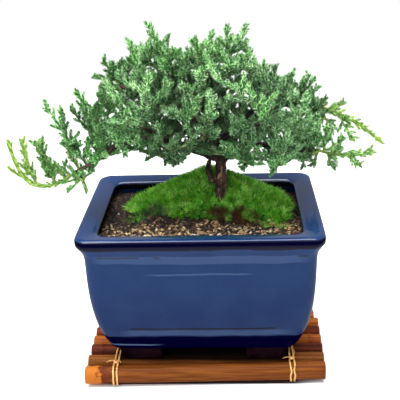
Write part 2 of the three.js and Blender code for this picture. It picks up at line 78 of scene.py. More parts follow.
def makeCamera(plan):
    bpy.ops.object.camera_add(location=[c * mm for c in plan["place"]])
    camera = bpy.context.object
    turn = Matrix.Rotation(math.radians(plan["turn"]), 3, "Z")
    tilt = Matrix.Rotation(math.radians(90 - plan["pitch"]), 3, "X")
    roll = Matrix.Rotation(math.radians(plan["roll"]), 3, "Z")
    camera.rotation_euler = (turn @ tilt @ roll).to_euler()
    camera.data.sensor_width = plan["sensor"]
    camera.data.lens = plan["focalPixels"] / plan["framePixels"] * plan["sensor"]
    camera.data.clip_start = plan["nearest"]
    bpy.context.scene.camera = camera


def rgb(*screen):  # a screen colour, as Blender wants it
    return tuple(((c / 255 + 0.055) / 1.055) ** 2.4 if c > 10 else c / 255 / 12.92 for c in screen) + (1,)


def addNode(tree, kind, inputs=None, **settings):
    made = tree.nodes.new(kind)
    for label, value in settings.items():
        setattr(made, label, value)
    for label, value in (inputs or {}).items():
        if isinstance(value, bpy.types.NodeSocket):
            tree.links.new(value, made.inputs[label])
        else:
            made.inputs[label].default_value = value
    return made


def mixed(tree, share, first, second, blend="MIX"):
    node = addNode(tree, "ShaderNodeMix", {0: share, 6: first, 7: second}, data_type="RGBA", blend_type=blend)
    return node.outputs[2]


def maths(tree, operation, *values):
    return addNode(tree, "ShaderNodeMath", dict(enumerate(values)), operation=operation).outputs[0]


def plus(tree, *values):
    return maths(tree, "ADD", *values)


def minus(tree, *values):
    return maths(tree, "SUBTRACT", *values)


def times(tree, *values):
    return maths(tree, "MULTIPLY", *values)


def vectors(tree, operation, *values):
    node = addNode(tree, "ShaderNodeVectorMath", dict(enumerate(values)), operation=operation)
    return node.outputs["Value" if operation in ("LENGTH", "DISTANCE") else "Vector"]


def axesOf(tree, place):
    return addNode(tree, "ShaderNodeSeparateXYZ", {0: place}).outputs


def mapped(tree, place, move=(0, 0, 0), scale=(1, 1, 1)):
    return addNode(tree, "ShaderNodeMapping", {0: place, "Location": move, "Scale": scale}).outputs[0]


def between(tree, value, low, high, toLow=0.0, toHigh=1.0):  # a soft step from low to high
    inputs = {"Value": value, 1: low, 2: high, 3: toLow, 4: toHigh}
    return addNode(tree, "ShaderNodeMapRange", inputs, interpolation_type="SMOOTHSTEP").outputs[0]


def ramp(tree, value, *stops):  # each stop is a place and a screen colour
    node = addNode(tree, "ShaderNodeValToRGB", {0: value})
    elements = node.color_ramp.elements
    while len(elements) < len(stops):
        elements.new(0.5)
    for element, (place, *screen) in zip(elements, stops):
        element.position = place
        element.color = rgb(*screen)
    return node.outputs[0]


def newMaterial(name, **settings):
    material = bpy.data.materials.new(name)
    material.use_nodes = True
    tree = material.node_tree
    shader = tree.nodes["Principled BSDF"]
    for label, value in settings.items():
        shader.inputs[label.replace("_", " ")].default_value = value
    place = tree.nodes.new("ShaderNodeTexCoord").outputs["Object"]
    return material, tree, shader, place


def noise(tree, place, scale, detail=3.0, stretch=None):
    if stretch:
        place = mapped(tree, place, scale=stretch)
    return addNode(tree, "ShaderNodeTexNoise", {"Vector": place, "Scale": scale, "Detail": detail}).outputs[0]


def wander(tree, place, scale, detail, reach):  # noise about zero, to make an edge uneven
    return times(tree, minus(tree, noise(tree, place, scale, detail), 0.5), reach)


lightPlan = {
    "sky": 0.95,
    "skyInView": 1.0,
    "skyInGloss": 0.5,
    "horizon": 0.3,  # how bright the sky is there
    "horizonReach": 0.75,  # height in the sky where that ends
    "boxes": [  # place and size in metres, watts
        ("overheadBox", (-0.1, -0.05, 1.0), 1.0, 26.0),
        ("frontBox", (-0.5, -0.9, 0.8), 0.5, 5.0),
    ],
    "aim": (0, 0, 0.1),
}


def makeLight(plan):
    world = bpy.data.worlds.new("paleStudio")
    bpy.context.scene.world = world
    world.use_nodes = True
    tree = world.node_tree
    ray = addNode(tree, "ShaderNodeLightPath").outputs
    way = axesOf(tree, tree.nodes.new("ShaderNodeTexCoord").outputs["Generated"])
    strength = between(tree, way[2], 0.0, plan["horizonReach"], plan["sky"] * plan["horizon"], plan["sky"])
    for kind, level in (("Is Glossy Ray", plan["skyInGloss"]), ("Is Camera Ray", plan["skyInView"])):
        strength = addNode(tree, "ShaderNodeMix", {0: ray[kind], 2: strength, 3: level}).outputs[0]
    tree.links.new(strength, tree.nodes["Background"].inputs["Strength"])
    tree.nodes["Background"].inputs["Color"].default_value = (1, 1, 1, 1)
    for name, place, size, power in plan["boxes"]:
        bpy.ops.object.light_add(type="AREA", location=place)
        light = bpy.context.object
        light.name = name
        light.rotation_euler = (Vector(plan["aim"]) - light.location).to_track_quat("-Z", "Y").to_euler()
        light.data.size = size
        light.data.energy = power


floorPlan = {  # distances in metres from the raft
    "size": 6,
    "raftHalf": (0.078, 0.0475, 0),
    "shadow": (40, 16, 24),
    "shadowAcross": (0.055, 0.075, 0.95, 0.2),  # from and to, how dark there
    "shadowReach": 0.0006,
    "gloss": 0.5,  # painted reflection: round the raft the floor glows for glossy rays only, for the glaze to mirror
    "mirroredGlowFrom": (0.005, 0.012),
    "mirroredGlowTo": (0.195, 0.205),
    "white": (0.45, 0.9),  # the floor turns as white as the sky beyond this
}


def makeFloor(plan):
    bpy.ops.mesh.primitive_plane_add(size=plan["size"])
    floor = bpy.context.object
    floor.name = "floor"
    material, tree, shader, place = newMaterial("paleFloor", Roughness=0.6, Specular_IOR_Level=0.2)
    half = vectors(tree, "ABSOLUTE", place)
    out = vectors(tree, "SUBTRACT", half, plan["raftHalf"])
    out = vectors(tree, "MAXIMUM", out, (0, 0, 0))
    away = vectors(tree, "LENGTH", out)
    under = between(tree, axesOf(tree, half)[0], *plan["shadowAcross"])
    under = times(tree, under, between(tree, away, 0.0, plan["shadowReach"], 1.0, 0.0))
    tree.links.new(mixed(tree, under, (0.9, 0.9, 0.9, 1), rgb(*plan["shadow"])), shader.inputs["Base Color"])
    # painted reflection: a band of floor round the raft that glows only in glossy rays
    glow = between(tree, away, *plan["mirroredGlowTo"], plan["gloss"], 0.02)
    glow = times(tree, glow, between(tree, away, *plan["mirroredGlowFrom"], 0.05, 1.0))
    mirrored = addNode(tree, "ShaderNodeEmission", {"Strength": glow}).outputs[0]
    ray = tree.nodes.new("ShaderNodeLightPath").outputs
    white = addNode(tree, "ShaderNodeEmission", {"Strength": 1.0}).outputs[0]
    whiter = times(tree, between(tree, away, *plan["white"]), ray["Is Camera Ray"])
    seen = addNode(tree, "ShaderNodeMixShader", {0: whiter, 1: shader.outputs[0], 2: white}).outputs[0]
    seen = addNode(tree, "ShaderNodeMixShader", {0: ray["Is Glossy Ray"], 1: seen, 2: mirrored}).outputs[0]
    tree.links.new(seen, tree.nodes["Material Output"].inputs["Surface"])
    floor.data.materials.append(material)


bpy.context.scene.view_settings.view_transform = "Standard"
makeCamera(cameraPlan)
makeLight(lightPlan)
makeFloor(floorPlan)
print("camera, light and floor")


# Small helpers for modelling.
@contextmanager
def editing():  # edit mode, at first with everything selected
    bpy.ops.object.mode_set(mode="EDIT")
    bpy.ops.mesh.select_all(action="SELECT")
    yield
    bpy.ops.object.mode_set(mode="OBJECT")


def selectFaces(piece, wanted):
    bpy.ops.mesh.select_mode(type="FACE")
    bpy.ops.mesh.select_all(action="DESELECT")
    bpy.ops.object.mode_set(mode="OBJECT")
    for face in piece.data.polygons:
        face.select = bool(wanted(face.center, face.normal))
    bpy.ops.object.mode_set(mode="EDIT")


def lift(*move):
    bpy.ops.mesh.extrude_region_move(TRANSFORM_OT_translate={"value": move})


def swing(degrees, along, centre=(0, 0, 0)):
    bpy.ops.transform.rotate(value=math.radians(degrees), orient_axis=along, center_override=centre)


def cut(place, normal):  # through the whole piece
    bpy.ops.mesh.select_all(action="SELECT")
    bpy.ops.mesh.bisect(plane_co=place, plane_no=normal)


def selectOnly(*things):
    bpy.ops.object.select_all(action="DESELECT")
    for thing in things:
        thing.select_set(True)
    bpy.context.view_layer.objects.active = things[0]


def linked(name, data):
    thing = bpy.data.objects.new(name, data)
    bpy.context.collection.objects.link(thing)
    return thing


def block(size, place=(0, 0, 0)):
    bpy.ops.mesh.primitive_cube_add(size=1, location=place)
    piece = bpy.context.object
    piece.scale = size
    bpy.ops.object.transform_apply(location=True, scale=True)
    return piece


def joined(things):
    selectOnly(*things)
    if len(things) > 1:
        bpy.ops.object.join()
    return bpy.context.object


def applied(piece, kind, **settings):
    selectOnly(piece)
    modifier = piece.modifiers.new(kind.title(), kind)
    for label, value in settings.items():
        setattr(modifier, label, value)
    bpy.ops.object.modifier_apply(modifier=modifier.name)


def bevelled(piece, width, segments, degrees):
    applied(
        piece, "BEVEL", width=width, segments=segments, limit_method="ANGLE", angle_limit=math.radians(degrees),
    )


def finishPiece(piece, material, name, slot, *nodes, angle=40):
    if material:
        dress(piece, material)
    selectOnly(piece)
    piece.name = name
    piece.data.name = name
    bpy.ops.object.transform_apply(location=True, rotation=True, scale=True)
    piece.scale = (mm, mm, mm)
    bpy.ops.object.transform_apply(location=True, rotation=True, scale=True)
    bpy.ops.object.shade_smooth_by_angle(angle=math.radians(angle))
    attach(piece, "root")
    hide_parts(*nodes)


def dress(piece, material):
    piece.data.materials.clear()
    piece.data.materials.append(material)


def boxOf(node):  # in millimetres
    return [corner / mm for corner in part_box(node)]


def copyOfSolid(node):  # a merged copy in millimetres
    piece = linked(node + "_copy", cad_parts[node].data.copy())
    selectOnly(piece)
    piece.data.materials.clear()
    piece.scale = (1 / mm, 1 / mm, 1 / mm)
    bpy.ops.object.transform_apply(scale=True)
    with editing():
        bpy.ops.mesh.remove_doubles(threshold=0.02)
    return piece


def cloudTexture(name, size):
    texture = bpy.data.textures.new(name, "CLOUDS")
    texture.noise_scale = size
    texture.noise_depth = 2
    return texture


def treeOf(piece):  # for finding places on a surface
    return BVHTree.FromObject(piece, bpy.context.evaluated_depsgraph_get())


def below(surface, x, y):  # where a plumb line from above meets a surface
    place, normal, _, _ = surface.ray_cast(Vector((x, y, 140)), Vector((0, 0, -1)))
    return place, normal


# Copies of small models on points, made real: each point says how its copy is turned, its size and its kind.
def makeCopier():
    group = bpy.data.node_groups.new("copyToPoints", "GeometryNodeTree")
    for label, way, kind in (
        ("Points", "INPUT", "Geometry"), ("Models", "INPUT", "Collection"), ("Copies", "OUTPUT", "Geometry"),
    ):
        group.interface.new_socket(label, in_out=way, socket_type="NodeSocket" + kind)
    start = group.nodes.new("NodeGroupInput")
    named = {}
    for label, kind in (("turn", "FLOAT_VECTOR"), ("size", "FLOAT"), ("kind", "INT")):
        node = addNode(group, "GeometryNodeInputNamedAttribute", {"Name": label}, data_type=kind)
        named[label] = node.outputs[0]
    turn = addNode(group, "FunctionNodeEulerToRotation", {0: named["turn"]}).outputs[0]
    models = addNode(group, "GeometryNodeCollectionInfo", {
        "Collection": start.outputs["Models"], "Separate Children": True, "Reset Children": True,
    })
    placed = addNode(group, "GeometryNodeInstanceOnPoints", {
        "Points": start.outputs["Points"], "Instance": models.outputs[0], "Pick Instance": True,
        "Instance Index": named["kind"], "Rotation": turn, "Scale": named["size"],
    })
    real = addNode(group, "GeometryNodeRealizeInstances", {"Geometry": placed.outputs[0]})
    addNode(group, "NodeGroupOutput", {"Copies": real.outputs[0]})
    return group


copier = makeCopier()


def placeCopies(name, models, spots, extras=("tint",)):  # a spot is (place, turn, size, kind, *extras)
    box = bpy.data.collections.new(name + "Models")
    bpy.context.scene.collection.children.link(box)
    for index, model in enumerate(models):
        model.name = "model%02d" % index
        box.objects.link(model)
    mesh = bpy.data.meshes.new(name)
    mesh.from_pydata([spot[0] for spot in spots], [], [])
    columns = [("turn", "FLOAT_VECTOR", "vector"), ("size", "FLOAT", "value"), ("kind", "INT", "value")]
    columns += [(extra, "FLOAT", "value") for extra in extras]
    for column, (label, kind, field) in enumerate(columns, start=1):
        values = [spot[column] for spot in spots]
        if kind == "FLOAT_VECTOR":
            values = [part for value in values for part in value]
        mesh.attributes.new(label, kind, "POINT").data.foreach_set(field, values)
    piece = linked(name, mesh)
    selectOnly(piece)
    modifier = piece.modifiers.new("Copies", "NODES")
    modifier.node_group = copier
    modifier["Socket_1"] = box
    bpy.ops.object.modifier_apply(modifier=modifier.name)
    for model in models:
        box.objects.unlink(model)
    bpy.data.collections.remove(box)
    return piece


def discard(*things):
    for thing in things:
        bpy.data.objects.remove(thing)


def turnTo(direction, roll):  # stands a model's +Z along a direction
    upright = Matrix.Rotation(roll, 3, "Z").to_quaternion()
    return (Vector(direction).to_track_quat("Z", "Y") @ upright).to_euler()


# Effects that several materials share.
def shaderGroup(name, inputs, outputs):
    group = bpy.data.node_groups.new(name, "ShaderNodeTree")
    for label, kind, value in inputs:
        socket = group.interface.new_socket(label, in_out="INPUT", socket_type="NodeSocket" + kind)
        if value is not None:
            socket.default_value = value
    for label, kind in outputs:
        group.interface.new_socket(label, in_out="OUTPUT", socket_type="NodeSocket" + kind)
    return group, group.nodes.new("NodeGroupInput").outputs


def makeMottle():  # two colours in patches, with finer flecks of each in the other
    group, given = shaderGroup("mottle", [
        ("Place", "Vector", None), ("Patches", "Float", 60.0), ("Flecks", "Float", 500.0),
        ("Share", "Float", 0.5), ("First", "Color", None), ("Second", "Color", None),
    ], [("Colour", "Color"), ("Mask", "Float")])
    wide = noise(group, given["Place"], 1.0)
    fine = noise(group, given["Place"], 1.0, 5.0)
    group.links.new(given["Patches"], wide.node.inputs["Scale"])
    group.links.new(given["Flecks"], fine.node.inputs["Scale"])
    both = plus(group, times(group, wide, 0.6), times(group, fine, 0.4))
    low = minus(group, given["Share"], 0.1)
    mask = between(group, both, low, plus(group, low, 0.2))
    both = mixed(group, mask, given["First"], given["Second"])
    addNode(group, "NodeGroupOutput", {"Colour": both, "Mask": mask})
    return group


def makeFineRelief():  # small bumps of a given size
    group, given = shaderGroup("fineRelief", [
        ("Place", "Vector", None), ("Scale", "Float", 300.0), ("Strength", "Float", 0.5),
        ("Depth", "Float", 0.0005),
    ], [("Normal", "Vector")])
    height = noise(group, given["Place"], 1.0, 4.0)
    group.links.new(given["Scale"], height.node.inputs["Scale"])
    bump = addNode(group, "ShaderNodeBump", {
        "Strength": given["Strength"], "Distance": given["Depth"], "Height": height,
    })
    addNode(group, "NodeGroupOutput", {"Normal": bump.outputs[0]})
    return group


mottle = makeMottle()
fineRelief = makeFineRelief()


def mottled(tree, place, patches, flecks, share, first, second):
    return addNode(tree, "ShaderNodeGroup", {
        "Place": place, "Patches": patches, "Flecks": flecks, "Share": share, "First": rgb(*first),
        "Second": rgb(*second),
    }, node_tree=mottle).outputs["Colour"]


def relieved(tree, shader, place, scale, strength, depth):
    bump = addNode(tree, "ShaderNodeGroup", {
        "Place": place, "Scale": scale, "Strength": strength, "Depth": depth,
    }, node_tree=fineRelief)
    tree.links.new(bump.outputs[0], shader.inputs["Normal"])


# The pot: one skin, drawn up outside and down inside.
potLow, potHigh = boxOf("pot")
potPlan = {
    "base": potLow.z,  # the underside of the feet
    "depthLess": potHigh.x - potHigh.y,  # half its depth is this much under half its width
    "corner": (6.6, 6),  # its size and segments
    "outside": [  # height above the feet, half width
        (9.5, 58.8), (10.3, 60), (11.6, 61.1), (17, 63.7), (23, 65.9), (30, 68), (38, 69.5), (48, 71),
        (60, 71.7), (70, 71.9), (77, 71.9), (82, 72.2), (85, 73.3), (88.4, 75.1), (90.2, 76.1), (90.9, 76.4),
        (94.2, 76.4), (95.4, 76.0), (96, 74.9), (96, 73.2),
    ],
    "inside": [
        (96, 73.2), (95.5, 70), (94.8, 66.6), (94, 64.2), (92.8, 63.4), (91, 64), (88.5, 65.8), (85, 66.4),
        (60, 66), (40, 64.2), (20, 58.8), (15.5, 54.5), (14.5, 51),
    ],
    "edges": (0.35, 2, 32),  # width, segments, from how many degrees
    "panel": (30.0, 71.0, 46.8),  # bottom, top, half its width
    "panelRise": 0.7,
    "panelSlope": (0.6, 16.0),  # heights of its lower and upper edges
    "panelFade": 14.0,
    "creaseShades": [  # painted shade: dark strokes where the lip begins and under the panels; from and to, height
        (-0.063, -0.036, 0.0832), (-0.029, -0.023, 0.083), (-0.0165, -0.014, 0.083), (0.058, 0.066, 0.0834),
        (-0.047, 0.047, 0.0302),
    ],
    "creaseHalf": 0.0009,
    "paintedGlints": [  # painted highlights: from and to, lower and upper edge, how pale
        (-0.066, -0.024, 0.0142, 0.0164, 0.35), (-0.036, 0.036, 0.0704, 0.0722, 0.16),
        (-0.07, 0.07, 0.0782, 0.0845, 0.12), (-0.055, 0.06, 0.024, 0.029, 0.1),
    ],
    "footGap": (28.4, 12.6),  # half widths, before the feet are drawn in
    "footInset": 0.5,
    "footTaper": 0.966,
    "drainHole": (6.0, 15.0, 30),  # radius, distance from the middle, depth
}


def climb(base, profile, depthLess):  # the selected face goes along a profile and leaves a wall behind it
    for (low, narrow), (high, wide) in zip(profile, profile[1:]):
        lift(0, 0, high - low)
        stretch = (wide / narrow, (wide - depthLess) / (narrow - depthLess), 1)
        bpy.ops.transform.resize(value=stretch, center_override=(0, 0, base + high))


def makePot(plan):
    base, less = plan["base"], plan["depthLess"]
    bottom, narrow = plan["outside"][0]
    bpy.ops.mesh.primitive_plane_add(size=2, location=(0, 0, base + bottom))
    pot = bpy.context.object
    pot.scale = (narrow, narrow - less, 1)
    bpy.ops.object.transform_apply(scale=True)
    corner, segments = plan["corner"]
    with editing():
        bpy.ops.mesh.bevel(offset=corner, segments=segments, affect="VERTICES")
        bpy.ops.mesh.select_mode(type="FACE")
        bpy.ops.mesh.select_all(action="SELECT")
        climb(base, plan["outside"], less)
        climb(base, plan["inside"], less)
        bpy.ops.mesh.select_all(action="SELECT")
        bpy.ops.mesh.normals_make_consistent(inside=False)
    applied(pot, "SUBSURF", levels=2, render_levels=2)
    raisePanels(pot, plan)
    drawFeet(pot, plan)
    bevelled(pot, *plan["edges"])
    radius, offset, depth = plan["drainHole"]
    for side in (-1, 1):
        place = (side * offset, 0, base + bottom)
        bpy.ops.mesh.primitive_cylinder_add(vertices=24, radius=radius, depth=depth, location=place)
        hole = bpy.context.object
        applied(pot, "BOOLEAN", object=hole, operation="DIFFERENCE", solver="EXACT")
        discard(hole)
    return pot


def raisePanels(pot, plan):  # crisp above and below, fading out towards the corners
    low, high, halfWidth = plan["panel"]
    low, high = plan["base"] + low, plan["base"] + high
    under, above = plan["panelSlope"]
    with editing():
        for height in (low, low + under, high - above, high - above / 2, high):
            cut((0, 0, height), (0, 0, 1))
    panel = pot.vertex_groups.new(name="panel")
    outer = plan["outside"][0][1] + 1
    for vertex in pot.data.vertices:
        across, other = abs(vertex.co.x), abs(vertex.co.y)
        if other > outer - plan["depthLess"] and abs(vertex.normal.y) > 0.8:
            room = halfWidth - across
        elif across > outer and abs(vertex.normal.x) > 0.8:
            room = halfWidth - plan["depthLess"] - other
        else:
            continue
        outward = vertex.normal.x * vertex.co.x + vertex.normal.y * vertex.co.y > 0
        if outward and room > 0 and low + 0.1 < vertex.co.z < high - 0.1:
            fade = min(1, room / plan["panelFade"], (high - vertex.co.z) / above)
            panel.add([vertex.index], fade, "REPLACE")
    applied(pot, "DISPLACE", strength=plan["panelRise"], mid_level=0, vertex_group="panel")


def drawFeet(pot, plan):
    halfGap, shortGap = plan["footGap"]
    bottom, edge = plan["outside"][0]
    edge -= 0.6

    def under(centre, normal):
        return centre.z < plan["base"] + bottom + 0.5 and normal.z < -0.8

    def footPlace(centre, normal):
        inCorner = halfGap < abs(centre.x) < edge and shortGap < abs(centre.y) < edge - plan["depthLess"]
        return under(centre, normal) and inCorner

    with editing():
        for gap, normal in ((halfGap, (1, 0, 0)), (shortGap, (0, 1, 0))):
            for side in (gap, -gap):
                selectFaces(pot, under)
                bpy.ops.mesh.bisect(plane_co=[side * part for part in normal], plane_no=normal)
        selectFaces(pot, footPlace)
        bpy.ops.mesh.inset(thickness=plan["footInset"])
        lift(0, 0, -bottom)
        taper = plan["footTaper"]
        bpy.ops.transform.resize(value=(taper, taper, 0), center_override=(0, 0, plan["base"]))


def glazeMaterial(plan):
    material, tree, shader, place = newMaterial("blueGlaze", Specular_IOR_Level=0.0, Coat_Roughness=0.12)
    axes = axesOf(tree, place)
    height = minus(tree, plus(tree, axes[2], wander(tree, place, 45.0, 2.0, 0.003)), plan["base"] * mm)

    def band(low, high, soft, at=height):
        return times(tree, between(tree, at, low, low + soft), between(tree, at, high - soft, high, 1.0, 0.0))

    body = mottled(tree, place, 55.0, 900.0, 0.5, (2, 30, 72), (10, 37, 76))
    # paler towards the top: painted light, the brighter reflection on the upper body
    paler = times(tree, between(tree, height, 0.03, 0.075), 0.3)
    body = mixed(tree, paler, body, rgb(30, 58, 104))
    # painted dark reflection: navy at the base, mirroring the raft, and on the lip's upright face
    low = between(tree, height, 0.0228, 0.0238, 1.0, 0.0)
    upward = axesOf(tree, tree.nodes.new("ShaderNodeNewGeometry").outputs["Normal"])
    upright = between(tree, upward[2], 0.45, 0.7, 1.0, 0.0)
    paintedDarkReflection = maths(tree, "MAXIMUM", low, times(tree, band(0.0886, 0.0965, 0.0006), upright))
    colour = mixed(tree, paintedDarkReflection, body, rgb(0, 0, 30))
    level = minus(tree, axes[2], plan["base"] * mm)
    half = plan["creaseHalf"]
    # painted shade in the creases at the lip and under the panels
    for start, end, at in plan["creaseShades"]:
        across = band(start, end, 0.002, axes[0])
        creaseShade = times(tree, band(at - half, at + half, 0.0003, level), across)
        colour = mixed(tree, creaseShade, colour, rgb(0, 0, 22))
    # painted highlights and reflections on the glaze
    for start, end, bottom, top, share in plan["paintedGlints"]:
        paintedGlint = times(tree, band(bottom, top, 0.0007), band(start, end, 0.012, axes[0]))
        colour = mixed(tree, times(tree, paintedGlint, share), colour, rgb(110, 136, 176))
    # the feet's bare clay, its colour darkened with painted shade under the pot
    clay = mottled(tree, place, 120.0, 1500.0, 0.5, (12, 4, 10), (28, 13, 20))
    bare = between(tree, height, 0.0088, 0.0098, 1.0, 0.0)
    tree.links.new(mixed(tree, bare, colour, clay), shader.inputs["Base Color"])
    pits = between(tree, noise(tree, place, 260.0, 2.0), 0.66, 0.8)
    rough = plus(tree, times(tree, bare, 0.6), times(tree, pits, 0.15))
    tree.links.new(plus(tree, rough, 0.1), shader.inputs["Roughness"])
    gloss = minus(tree, 0.9, times(tree, low, 0.84))
    gloss = times(tree, gloss, minus(tree, 1.0, bare))
    tree.links.new(gloss, shader.inputs["Coat Weight"])
    relieved(tree, shader, place, 90.0, 0.2, 0.0005)
    return material


finishPiece(makePot(potPlan), glazeMaterial(potPlan), "glazedPot", "glaze", "pot", angle=50)
print("pot")


# The soil, with bark chips on it.
soilPlan = {
    "grain": 1.3,  # size of the remeshed cells
    "crumbs": (2.2, 2.2),  # their size, and how rough they make the top
    "level": 98.0,
    "reach": (65.0, 46.0),  # half the hollow's width and depth
    "chips": 3600,
    "shapes": [(3.0, 1.2, 0.5), (1.8, 1.2, 0.6), (4.4, 0.8, 0.45), (1.3, 1.0, 0.8), (2.3, 1.7, 0.4)],
    "crumb": 0.75,
    "mixture": (0, 0, 1, 2, 2, 2, 3, 4, 5),  # which of these shapes, 5 for a crumb
    "seed": 71,
}


def chipModels(plan):
    models = []
    for index, size in enumerate(plan["shapes"]):
        chip = block(size)
        with editing():
            selectFaces(chip, lambda centre, normal: normal.z > 0.9)
            bpy.ops.transform.resize(value=(0.8, 0.65, 1), center_override=(0.1, 0, size[2] / 2))
            bpy.ops.mesh.select_all(action="SELECT")
            bpy.ops.transform.vertex_random(offset=0.18, seed=index + 3)
        models.append(chip)
    bpy.ops.mesh.primitive_ico_sphere_add(subdivisions=1, radius=plan["crumb"])
    with editing():
        bpy.ops.transform.vertex_random(offset=0.3, seed=9)
    return models + [bpy.context.object]


def makeSoilBed(plan):
    bed = copyOfSolid("soil")
    applied(bed, "REMESH", mode="VOXEL", voxel_size=plan["grain"])
    top = bed.vertex_groups.new(name="top")
    top.add([v.index for v in bed.data.vertices if v.co.z > plan["level"] - 3], 1.0, "ADD")
    size, roughness = plan["crumbs"]
    applied(bed, "DISPLACE", texture=cloudTexture("crumbs", size), strength=roughness, direction="Z",
            mid_level=0.5, vertex_group="top")
    return bed


def makeChips(plan, ground, cushion):  # each goes where the plumb line meets bare soil
    draw = random.Random(plan["seed"])
    reachX, reachY = plan["reach"]
    spots = []
    while len(spots) < plan["chips"]:
        x, y = draw.uniform(-reachX, reachX), draw.uniform(-reachY, reachY)
        place, normal = below(ground, x, y)
        covered, _ = below(cushion, x, y)
        if place is None or place.z < plan["level"] - 4 or covered and covered.z > place.z + 1.5:
            continue
        bright = (0.6 if x > -40 else 0.5) + 0.4 * max(0, min(1, (-y - 6) / 12))  # paler in front
        light = draw.random() * bright if draw.random() > 0.008 else 1.0
        size = draw.uniform(0.7, 1.6) * (0.6 if light > 0.97 else 1)
        kind = 5 if light > 0.985 else draw.choice(plan["mixture"])
        tilt = Vector((draw.gauss(0, 0.45), draw.gauss(0, 0.45), 1)) + normal * 0.5
        turn = turnTo(tilt, draw.uniform(0, 6.28))
        spots.append((place + Vector((0, 0, draw.uniform(0, 0.7))), turn, size, kind, light))
    models = chipModels(plan)
    chips = placeCopies("chips", models, spots)
    discard(*models)
    return chips


def soilMaterial():
    material, tree, shader, place = newMaterial("pottingSoil", Roughness=0.95)
    colour = mottled(tree, place, 260.0, 1400.0, 0.5, (20, 13, 10), (46, 32, 26))
    tree.links.new(colour, shader.inputs["Base Color"])
    relieved(tree, shader, place, 900.0, 0.8, 0.0006)
    return material


def readValue(tree, name):  # an attribute of the mesh
    return addNode(tree, "ShaderNodeAttribute", attribute_name=name).outputs["Fac"]


def chipMaterial():
    material, tree, shader, place = newMaterial("barkChips", Roughness=0.75)
    colour = ramp(
        tree, readValue(tree, "tint"), (0.0, 14, 9, 7), (0.3, 44, 29, 22), (0.5, 92, 68, 50),
        (0.7, 168, 134, 94), (0.88, 228, 198, 148), (0.99, 244, 232, 208),
    )
    streak = noise(tree, place, 900.0, 3.0, (1, 0.35, 1))
    dark = mixed(tree, between(tree, streak, 0.4, 0.65, 0.0, 0.55), colour, rgb(30, 18, 12))
    tree.links.new(dark, shader.inputs["Base Color"])
    return material


# The moss: a cushion with leaves on it.
mossPlan = {
    "grain": 1.0,
    "clumps": (3.2, 2.6),  # their size and height
    "tufts": 6000,
    "shapes": [(6, 4.4, 20), (5, 5.6, 26), (6, 3.4, 40)],  # leaves of a tuft, their length and spread
    "leaf": 0.26,
    "seed": 19,
    "redPatches": [  # where the moss has died back: place and radius
        ((-3, -14, 112), 5.0), ((12, -16, 105), 10.0), ((25, -17, 104), 10.5), ((35, -17, 101), 7.0),
    ],
    "greyPatch": ((-31, -6, 103), 13.0),
    "strays": [((-42, -3), (4.5, 2.0), 110), ((43, -15.5), (6.0, 1.8), 170)],  # tufts off the cushion
}


def makeMossBed(plan):
    bed = copyOfSolid("moss")
    applied(bed, "REMESH", mode="VOXEL", voxel_size=plan["grain"])
    applied(bed, "SMOOTH", factor=0.5, iterations=6)
    size, height = plan["clumps"]
    applied(bed, "DISPLACE", texture=cloudTexture("clumps", size), strength=height, mid_level=0.6)
    return bed


def tuftModels(plan):
    models = []
    for index, (count, length, spread) in enumerate(plan["shapes"]):
        bpy.ops.mesh.primitive_cone_add(vertices=3, radius1=plan["leaf"], depth=length, end_fill_type="NOTHING")
        models.append(bpy.context.object)
        with editing():
            bpy.ops.transform.translate(value=(0, 0, length / 2 - 0.3))
            swing(spread, "X", (0, 0, -0.6))
            around = fullTurn * (count - 1) / count
            bpy.ops.mesh.spin(steps=count - 1, dupli=True, angle=around, center=(0, 0, 0), axis=(0, 0, 1))
            bpy.ops.mesh.select_all(action="SELECT")
            bpy.ops.transform.vertex_random(offset=0.35, seed=index + 1)
    return models


def surfaceSpots(mesh, count, draw):  # random places on what faces up, spread by area
    mesh.calc_loop_triangles()
    triangles = [t for t in mesh.loop_triangles if t.normal.z > 0.05]
    for triangle in draw.choices(triangles, weights=[t.area for t in triangles], k=count):
        a, b, c = (mesh.vertices[i].co for i in triangle.vertices)
        s, t = sorted((draw.random(), draw.random()))
        yield a * s + b * (t - s) + c * (1 - t), Vector(triangle.normal)


def makeTufts(plan, bed, ground):
    draw = random.Random(plan["seed"])
    spots = []
    for place, normal in surfaceSpots(bed.data, plan["tufts"], draw):
        way = normal + Vector((draw.gauss(0, 0.25), draw.gauss(0, 0.25), 0.35))
        size = draw.uniform(0.65, 1.15)
        spots.append((place, turnTo(way, draw.uniform(0, 6.28)), size, draw.randrange(3), draw.random()))
    for middle, reach, count in plan["strays"]:
        for _ in range(count):
            place, normal = below(ground, *map(draw.gauss, middle, reach))
            way = normal + Vector((draw.gauss(0, 0.3), draw.gauss(0, 0.3), 0.2))
            turn = turnTo(way, draw.uniform(0, 6.28))
            spots.append((place, turn, draw.uniform(0.5, 0.85), 2, draw.random() * 0.8))
    models = tuftModels(plan)
    tufts = placeCopies("tufts", models, spots)
    discard(*models)
    return tufts


